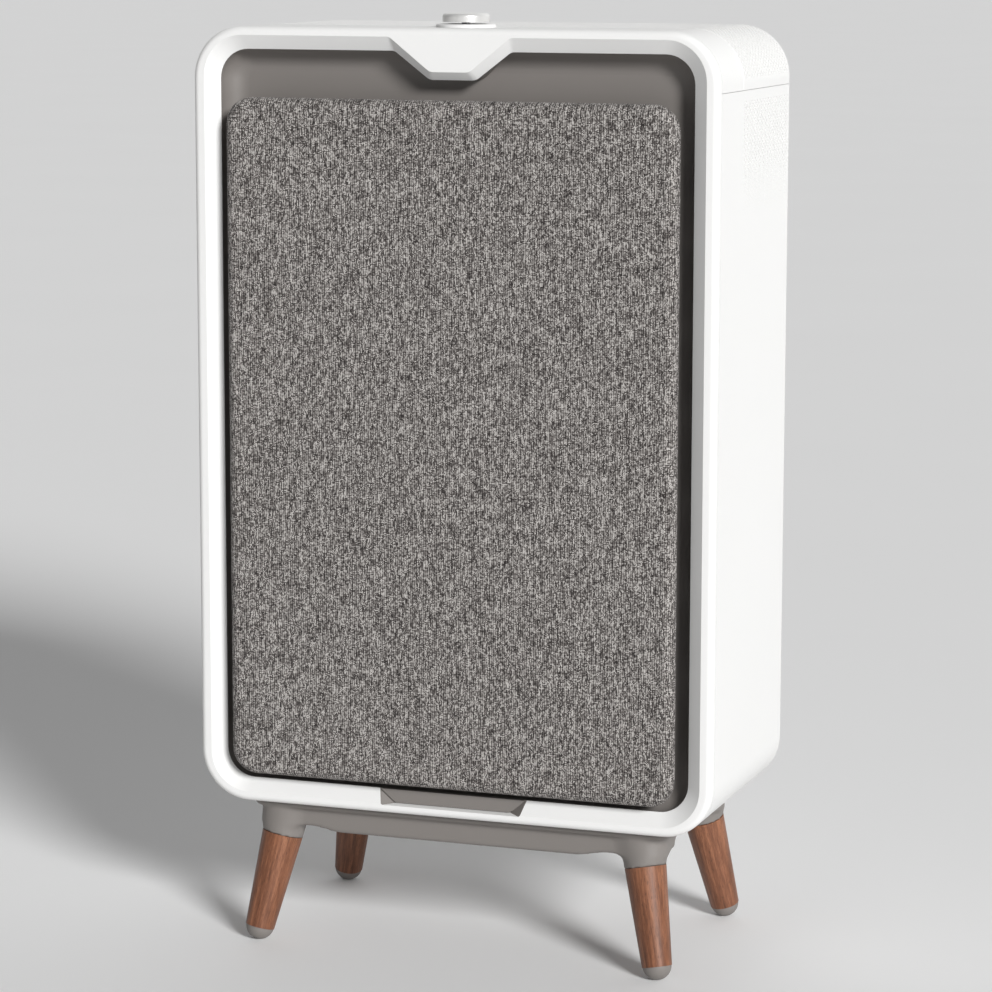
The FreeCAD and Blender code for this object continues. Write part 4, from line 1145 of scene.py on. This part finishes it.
# ---------------------------------------------------------------- base casting
@dataclass
class BaseCasting(Maker):
    """Taupe base in one smooth moulding: a lip that sweeps into a beam and four splayed sockets."""

    beam_low: float = 79.5 * MM
    beam_high: float = 98.0 * MM
    beam_half: Span = (146.3 * MM, 79.1 * MM)
    beam_round: float = 1.2 * MM
    lip_half: Span = (151.5 * MM, 84.3 * MM)
    lip_low: float = 94.6 * MM
    lip_round: float = 4.6 * MM
    lip_over: float = 8.0 * MM
    corner_radius: float = 11.2 * MM
    lip_radius: float = 13.0 * MM
    beam_rise: float = 3.2 * MM
    rise_from: float = 84.0 * MM
    rise_to: float = 108.0 * MM
    side_arch: Span = (48.0 * MM, 89.0 * MM)
    arch_round: float = 6.0 * MM
    wall: float = 6.0 * MM
    pocket_top: float = 96.5 * MM
    pocket_round: float = 1.5 * MM
    pocket_under: float = 20.0 * MM
    socket_top: float = 95.0 * MM
    socket_end: float = 73.5 * MM
    socket_radii: Span = (15.2 * MM, 14.25 * MM)
    socket_place: Span = (132.3 * MM, 70.3 * MM)
    splay: Span = (13.4 / 69.5, 13.6 / 69.5)
    blend: float = 7.0 * MM
    lip_blend: float = 2.4 * MM
    voxel: float = 1.3 * MM
    margin: float = 4.0 * MM
    shade_angle: float = 45.0

    def build(self) -> None:
        """Make the base from distances to its parts, joined with smooth blends."""
        low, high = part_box("base_frame")
        top = high[2]
        graph = GeometryGraph("base_casting", self.dresser.material(TAUPE), {
            "Middle": (low[1] + high[1]) / 2.0, "Blend": self.blend, "Lip blend": self.lip_blend, "Top": top})
        x, y, z = graph.split(graph.position())
        x, y = abs(x), abs(y - graph["Middle"])
        climb = ((x - self.rise_from) / (self.rise_to - self.rise_from)).clamp()
        raised = z - climb * climb * (3.0 - 2.0 * climb) * self.beam_rise
        beam = self._slab(graph, x, y, raised, self.beam_half, self.corner_radius,
                          (self.beam_low, self.beam_high), self.beam_round)
        lip = self._slab(graph, x, y, z, self.lip_half, self.lip_radius, (self.lip_low, top + self.lip_over),
                         self.lip_round)
        inner = (self.beam_half[0] - self.wall, self.beam_half[1] - self.wall)
        pocket = self._slab(graph, x, y, z, inner, self.corner_radius - self.wall,
                            (self.beam_low - self.pocket_under, self.pocket_top), self.pocket_round)
        arch = self._eased(graph, y - self.side_arch[0], z - self.side_arch[1], self.arch_round)
        body = beam.most(-pocket).most(-arch)
        body = self._smooth_union(body, self._socket(graph, x, y, z), graph["Blend"])
        body = self._smooth_union(body, lip.most(-pocket), graph["Lip blend"]).most(z - graph["Top"])
        margin = self.margin
        cells = {"Resolution " + axis: round((high[i] - low[i] + 2 * margin) / self.voxel)
                 for i, axis in enumerate("XYZ")}
        volume = graph.add("GeometryNodeVolumeCube", {
            "Density": -body, "Background": -1.0, "Min": tuple(low[i] - margin for i in range(3)),
            "Max": tuple(high[i] + margin for i in range(3)), **cells})
        surface = graph.add("GeometryNodeVolumeToMesh",
                            {"Volume": volume, "Threshold": 0.0, "Adaptivity": 0.0})
        casting = graph.run(surface, "base_casting")
        smooth_by_angle(casting.data, self.shade_angle)
        self.dresser.dress(casting, TAUPE)
        place(casting, Body.HOUSING, "taupe_plastic", "base_frame")

    def _slab(self, graph: GeometryGraph, x: Link, y: Link, z: Link, half: Span, radius: float, heights: Span,
              edge: float) -> Link:
        """Return the distance to an upright slab.

        Args:
            graph: the tree.
            x: the place's distance from the middle, left to right.
            y: its distance from the middle, front to back.
            z: its height.
            half: half the slab's width and depth.
            radius: its corners' radius seen from above.
            heights: where it starts and ends.
            edge: the radius of its upper and lower edges.

        Returns:
            The distance, below zero inside.
        """
        low, high = heights
        px, py = x - (half[0] - radius), y - (half[1] - radius)
        plan = graph.length(graph.join(px.most(0.0), py.most(0.0), 0.0)) + px.most(py).least(0.0) - radius
        return self._eased(graph, plan, abs(z - (low + high) / 2.0) - (high - low) / 2.0, edge)

    def _eased(self, graph: GeometryGraph, first: Link, second: Link, edge: float) -> Link:
        """Return the distance to where two shapes overlap, with the edge between them rounded."""
        a, b = first + edge, second + edge
        return graph.length(graph.join(a.most(0.0), b.most(0.0), 0.0)) + a.most(b).least(0.0) - edge

    def _socket(self, graph: GeometryGraph, x: Link, y: Link, z: Link) -> Link:
        """Return the distance to a splayed, tapering socket."""
        foot = Vector((*self.socket_place, self.socket_end))
        down = Vector((*self.splay, -1.0)).normalized()
        dx, dy, dz = x - foot.x, y - foot.y, z - foot.z
        along = dx * down.x + dy * down.y + dz * down.z
        off = graph.length(graph.join(dx - along * down.x, dy - along * down.y, dz - along * down.z))
        length = (self.socket_top - self.socket_end) / abs(down.z)
        taper = (self.socket_radii[0] - self.socket_radii[1]) / length
        side = off - (self.socket_radii[1] - along * taper)
        return side.most(along).most(-along - length)

    def _smooth_union(self, first: Link, second: Link, blend: Link) -> Link:
        """Return the distance to two shapes joined with a fillet about as large as blend."""
        share = (blend - abs(first - second)).most(0.0) / blend
        return first.least(second) - share * share * blend * 0.25


# ---------------------------------------------------------------- filters and small parts
@dataclass
class FilterStack(Maker):
    """What shows when the panel comes off: prefilter mesh and carbon honeycomb."""

    wire_pitch: float = 2.6 * MM
    wire: float = 0.5 * MM
    wire_shift: float = 0.25
    comb_pitch: float = 6.0 * MM
    comb_wall: float = 0.7 * MM
    comb_margin: Span = (1.2, 1.6)
    comb_grow: float = 0.45

    def build(self) -> None:
        """Make both layers."""
        self.prefilter_weave()
        self.carbon_comb()

    def prefilter_weave(self) -> None:
        """Make the prefilter's mesh from wires that cross over and under."""
        low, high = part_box("prefilter_mesh")
        mesh = self._wires("upright_wires", low, high, 0, 2)
        join_into(mesh, [self._wires("level_wires", low, high, 2, 0)])
        mesh.name = "prefilter_weave"
        place(mesh, Body.PREFILTER, "mesh_cloth", "prefilter_mesh")

    def _wires(self, name: str, low: Vector, high: Vector, step_axis: int, run_axis: int) -> bpy.types.Object:
        """Return a row of square wires.

        Args:
            name: the row's name.
            low: the lower corner of the mesh's box.
            high: its upper corner.
            step_axis: the axis along which the wires are spaced.
            run_axis: the axis along which each wire runs.

        Returns:
            The row as a plain mesh.
        """
        span = high[step_axis] - low[step_axis]
        count = int(span / self.wire_pitch) + 1
        direction, size, first = [0.0, 0.0, 0.0], [self.wire] * 3, list(centre(low, high))
        direction[step_axis] = span / (count - 1)
        size[run_axis] = high[run_axis] - low[run_axis]
        first[step_axis] = low[step_axis]
        first[1] += (self.wire * self.wire_shift) * (1 if step_axis else -1)
        graph = GeometryGraph("wire_row", self.dresser.material(YARN),
                              {"Count": count, "First": first, "Step": direction, "Size": size})
        places = {"Count": graph["Count"], "Start Location": graph["First"], "Offset": graph["Step"]}
        line = graph.add("GeometryNodeMeshLine", places, mode="OFFSET")
        wire = graph.add("GeometryNodeMeshCube", {"Size": graph["Size"]})
        return graph.run(graph.repeated(line, wire), name)

    def carbon_comb(self) -> None:
        """Make the carbon layer as an open comb of six-sided cells."""
        low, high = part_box("carbon_layer")
        pitch, step = self.comb_pitch, self.comb_pitch * HEX_STEP
        columns = int((high[0] - low[0] - pitch * self.comb_margin[0]) / step) + 1
        rows = int((high[2] - low[2] - pitch * self.comb_margin[1]) / pitch) + 1
        x, y, z = centre(low, high)
        graph = GeometryGraph("carbon_comb", self.dresser.material(CARBON), {
            "Columns": columns, "Rows": rows, "Pitch": pitch, "Depth": high[1] - low[1],
            "First": (x - step * (columns - 1) / 2.0, y, z - pitch * (rows - 0.5) / 2.0),
            "Cell radius": (pitch - self.comb_wall) / math.sqrt(3.0)})
        across, up = graph.staggered()
        points = graph.add("GeometryNodePoints", {
            "Count": graph["Columns"] * graph["Rows"],
            "Position": graph.vector("ADD", graph["First"], graph.join(across, 0.0, up))})
        tube = graph.add("GeometryNodeMeshCylinder", {
            "Vertices": 6, "Radius": graph["Cell radius"], "Depth": graph["Depth"]}, fill_type="NONE")
        turned = graph.add("GeometryNodeTransform", {"Geometry": tube, "Rotation": (math.pi / 2.0, 0.0, 0.0)})
        comb = graph.run(graph.repeated(points, turned), "carbon_comb")
        thicken(comb, self.comb_wall * self.comb_grow, 1.0)
        self.dresser.dress(comb, CARBON)
        place(comb, Body.FILTER, "carbon", "carbon_layer")


@dataclass
class PressSpring(Maker):
    """Coil spring under the dial's press shaft."""

    wire_radius: float = 0.14 * MM
    turns: float = 2.5
    pressed_share: float = 0.3
    points_per_turn: int = 24
    shade_angle: float = 60.0

    def build(self) -> None:
        """Make the coil along a helix."""
        low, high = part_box("press_spring")
        graph = GeometryGraph("press_coil", self.dresser.material(STEEL), {
            "Turns": self.turns, "Coil radius": (high[0] - low[0]) / 2.0 - self.wire_radius,
            "Height": high[2] - low[2] - 2 * self.wire_radius, "Wire radius": self.wire_radius})
        spiral = graph.add("GeometryNodeCurveSpiral", {
            "Resolution": self.points_per_turn, "Rotations": graph["Turns"], "Height": graph["Height"],
            "Start Radius": graph["Coil radius"], "End Radius": graph["Coil radius"]})
        x, y, _ = centre(low, high)
        wire = graph.add("GeometryNodeTransform", {
            "Geometry": graph.tube(spiral, graph["Wire radius"]),
            "Translation": (x, y, low[2] + self.wire_radius)})
        coil = graph.run(wire, "press_coil")
        smooth_by_angle(coil.data, self.shade_angle)
        place(coil, Body.HOUSING, "steel", "press_spring")
        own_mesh(coil)


# ---------------------------------------------------------------- carried-over parts
@dataclass
class CarriedParts(Maker):
    """Frame nodes whose own shape is kept, dressed in better finishes."""

    special: tuple[tuple[str, Finish], ...] = (("impeller", WHEEL), ("filter_frame", PAPER))

    def build(self) -> None:
        """Dress every node by its slot, and each leg in its own cut of walnut."""
        slots = {entry["node"]: entry["material_slot"] for entry in frame["record"]["subparts"]}
        special = dict(self.special)
        for node, piece in frame["nodes"].items():
            if slots[node] == "walnut":
                self.dresser.dress(piece, self.leg_finish(node))
            else:
                self.dresser.dress(piece, special.get(node, SLOT_FINISH[slots[node]]))

    def leg_finish(self, node: str) -> WalnutFinish:
        """Return walnut whose grain follows one leg's splay."""
        low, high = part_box(node)
        side = 1.0 if low[0] > 0 else -1.0
        end = 1.0 if node.startswith("rear") else -1.0
        tilt = (-math.atan(BaseCasting.splay[1]) * end, math.atan(BaseCasting.splay[0]) * side, 0.0)
        return WalnutFinish("walnut_" + node, tilt, centre(low, high))


# ---------------------------------------------------------------- studio
@dataclass
class Studio:
    """Camera, pale floor and soft light."""

    camera_place: Colour = (0.80577, -2.27620, 0.69491)
    yaw: float = 0.34091
    pitch: float = 0.15907
    roll: float = -0.00132
    lens: float = 127.80
    sensor: float = 36.0
    floor_half: float = 60.0
    floor_tones: Span = (0.87, 0.89)
    key_from: Colour = (0.66, -0.635, 0.40)
    key_strength: float = 3.5
    key_spread: float = 15.0
    room_rise: Span = (0.1, 0.9)
    room_low: float = 0.12
    room_high: float = 0.90

    def build(self) -> None:
        """Set up the studio."""
        self.camera()
        self.floor()
        self.room()
        self.key_light()
        bpy.context.scene.view_settings.view_transform = "Standard"

    def camera(self) -> None:
        """Make the camera."""
        data = bpy.data.cameras.new("camera")
        data.lens = self.lens
        data.sensor_width = self.sensor
        camera = link_new("camera", data)
        camera.location = self.camera_place
        camera.rotation_euler = (math.pi / 2.0 - self.pitch, self.roll, self.yaw)
        bpy.context.scene.camera = camera

    def floor(self) -> None:
        """Make the floor."""
        work = bmesh.new()
        bmesh.ops.create_grid(work, x_segments=2, y_segments=2, size=self.floor_half)
        floor = piece_from("floor", work)
        graph = ShaderGraph("pale_floor")
        cloud = graph.noise(graph.object_place(), 2.0)
        darker, lighter = ((tone,) * 3 for tone in self.floor_tones)
        floor.data.materials.append(graph.finish(Base_Color=graph.mix(cloud, darker, lighter), Roughness=0.8))

    def room(self) -> None:
        """Make the surrounding light, soft everywhere and brighter behind the object."""
        world = bpy.data.worlds.new("studio")
        world.use_nodes = True
        world.node_tree.nodes.clear()
        graph = Graph(world.node_tree)
        back = graph.split(graph.add("ShaderNodeTexCoord", out="Generated"))[1]
        share = graph.add("ShaderNodeMapRange", {
            "Value": back, "From Min": self.room_rise[0], "From Max": self.room_rise[1],
            "To Min": self.room_low, "To Max": self.room_high}, interpolation_type="SMOOTHSTEP")
        light = graph.add("ShaderNodeBackground", {"Strength": share, "Color": (1.0, 1.0, 1.0, 1.0)})
        graph.add("ShaderNodeOutputWorld", {"Surface": light})
        bpy.context.scene.world = world

    def key_light(self) -> None:
        """Make the broad soft light from the front right."""
        data = bpy.data.lights.new("key_light", "SUN")
        data.energy = self.key_strength
        data.angle = math.radians(self.key_spread)
        lamp = link_new("key_light", data)
        lamp.rotation_euler = (-Vector(self.key_from)).to_track_quat("-Z", "Y").to_euler()


def main() -> None:
    """Build every piece in order."""
    logging.basicConfig(level=logging.INFO, format="%(message)s")
    dresser = Dresser()
    Studio().build()
    for maker in (CarriedParts, Shell, BezelRing, FabricPanel, BaseCasting, FilterStack, PressSpring):
        maker(dresser).build()
        LOG.info("built %s", maker.__name__)


if __name__ == "__main__":
    main()
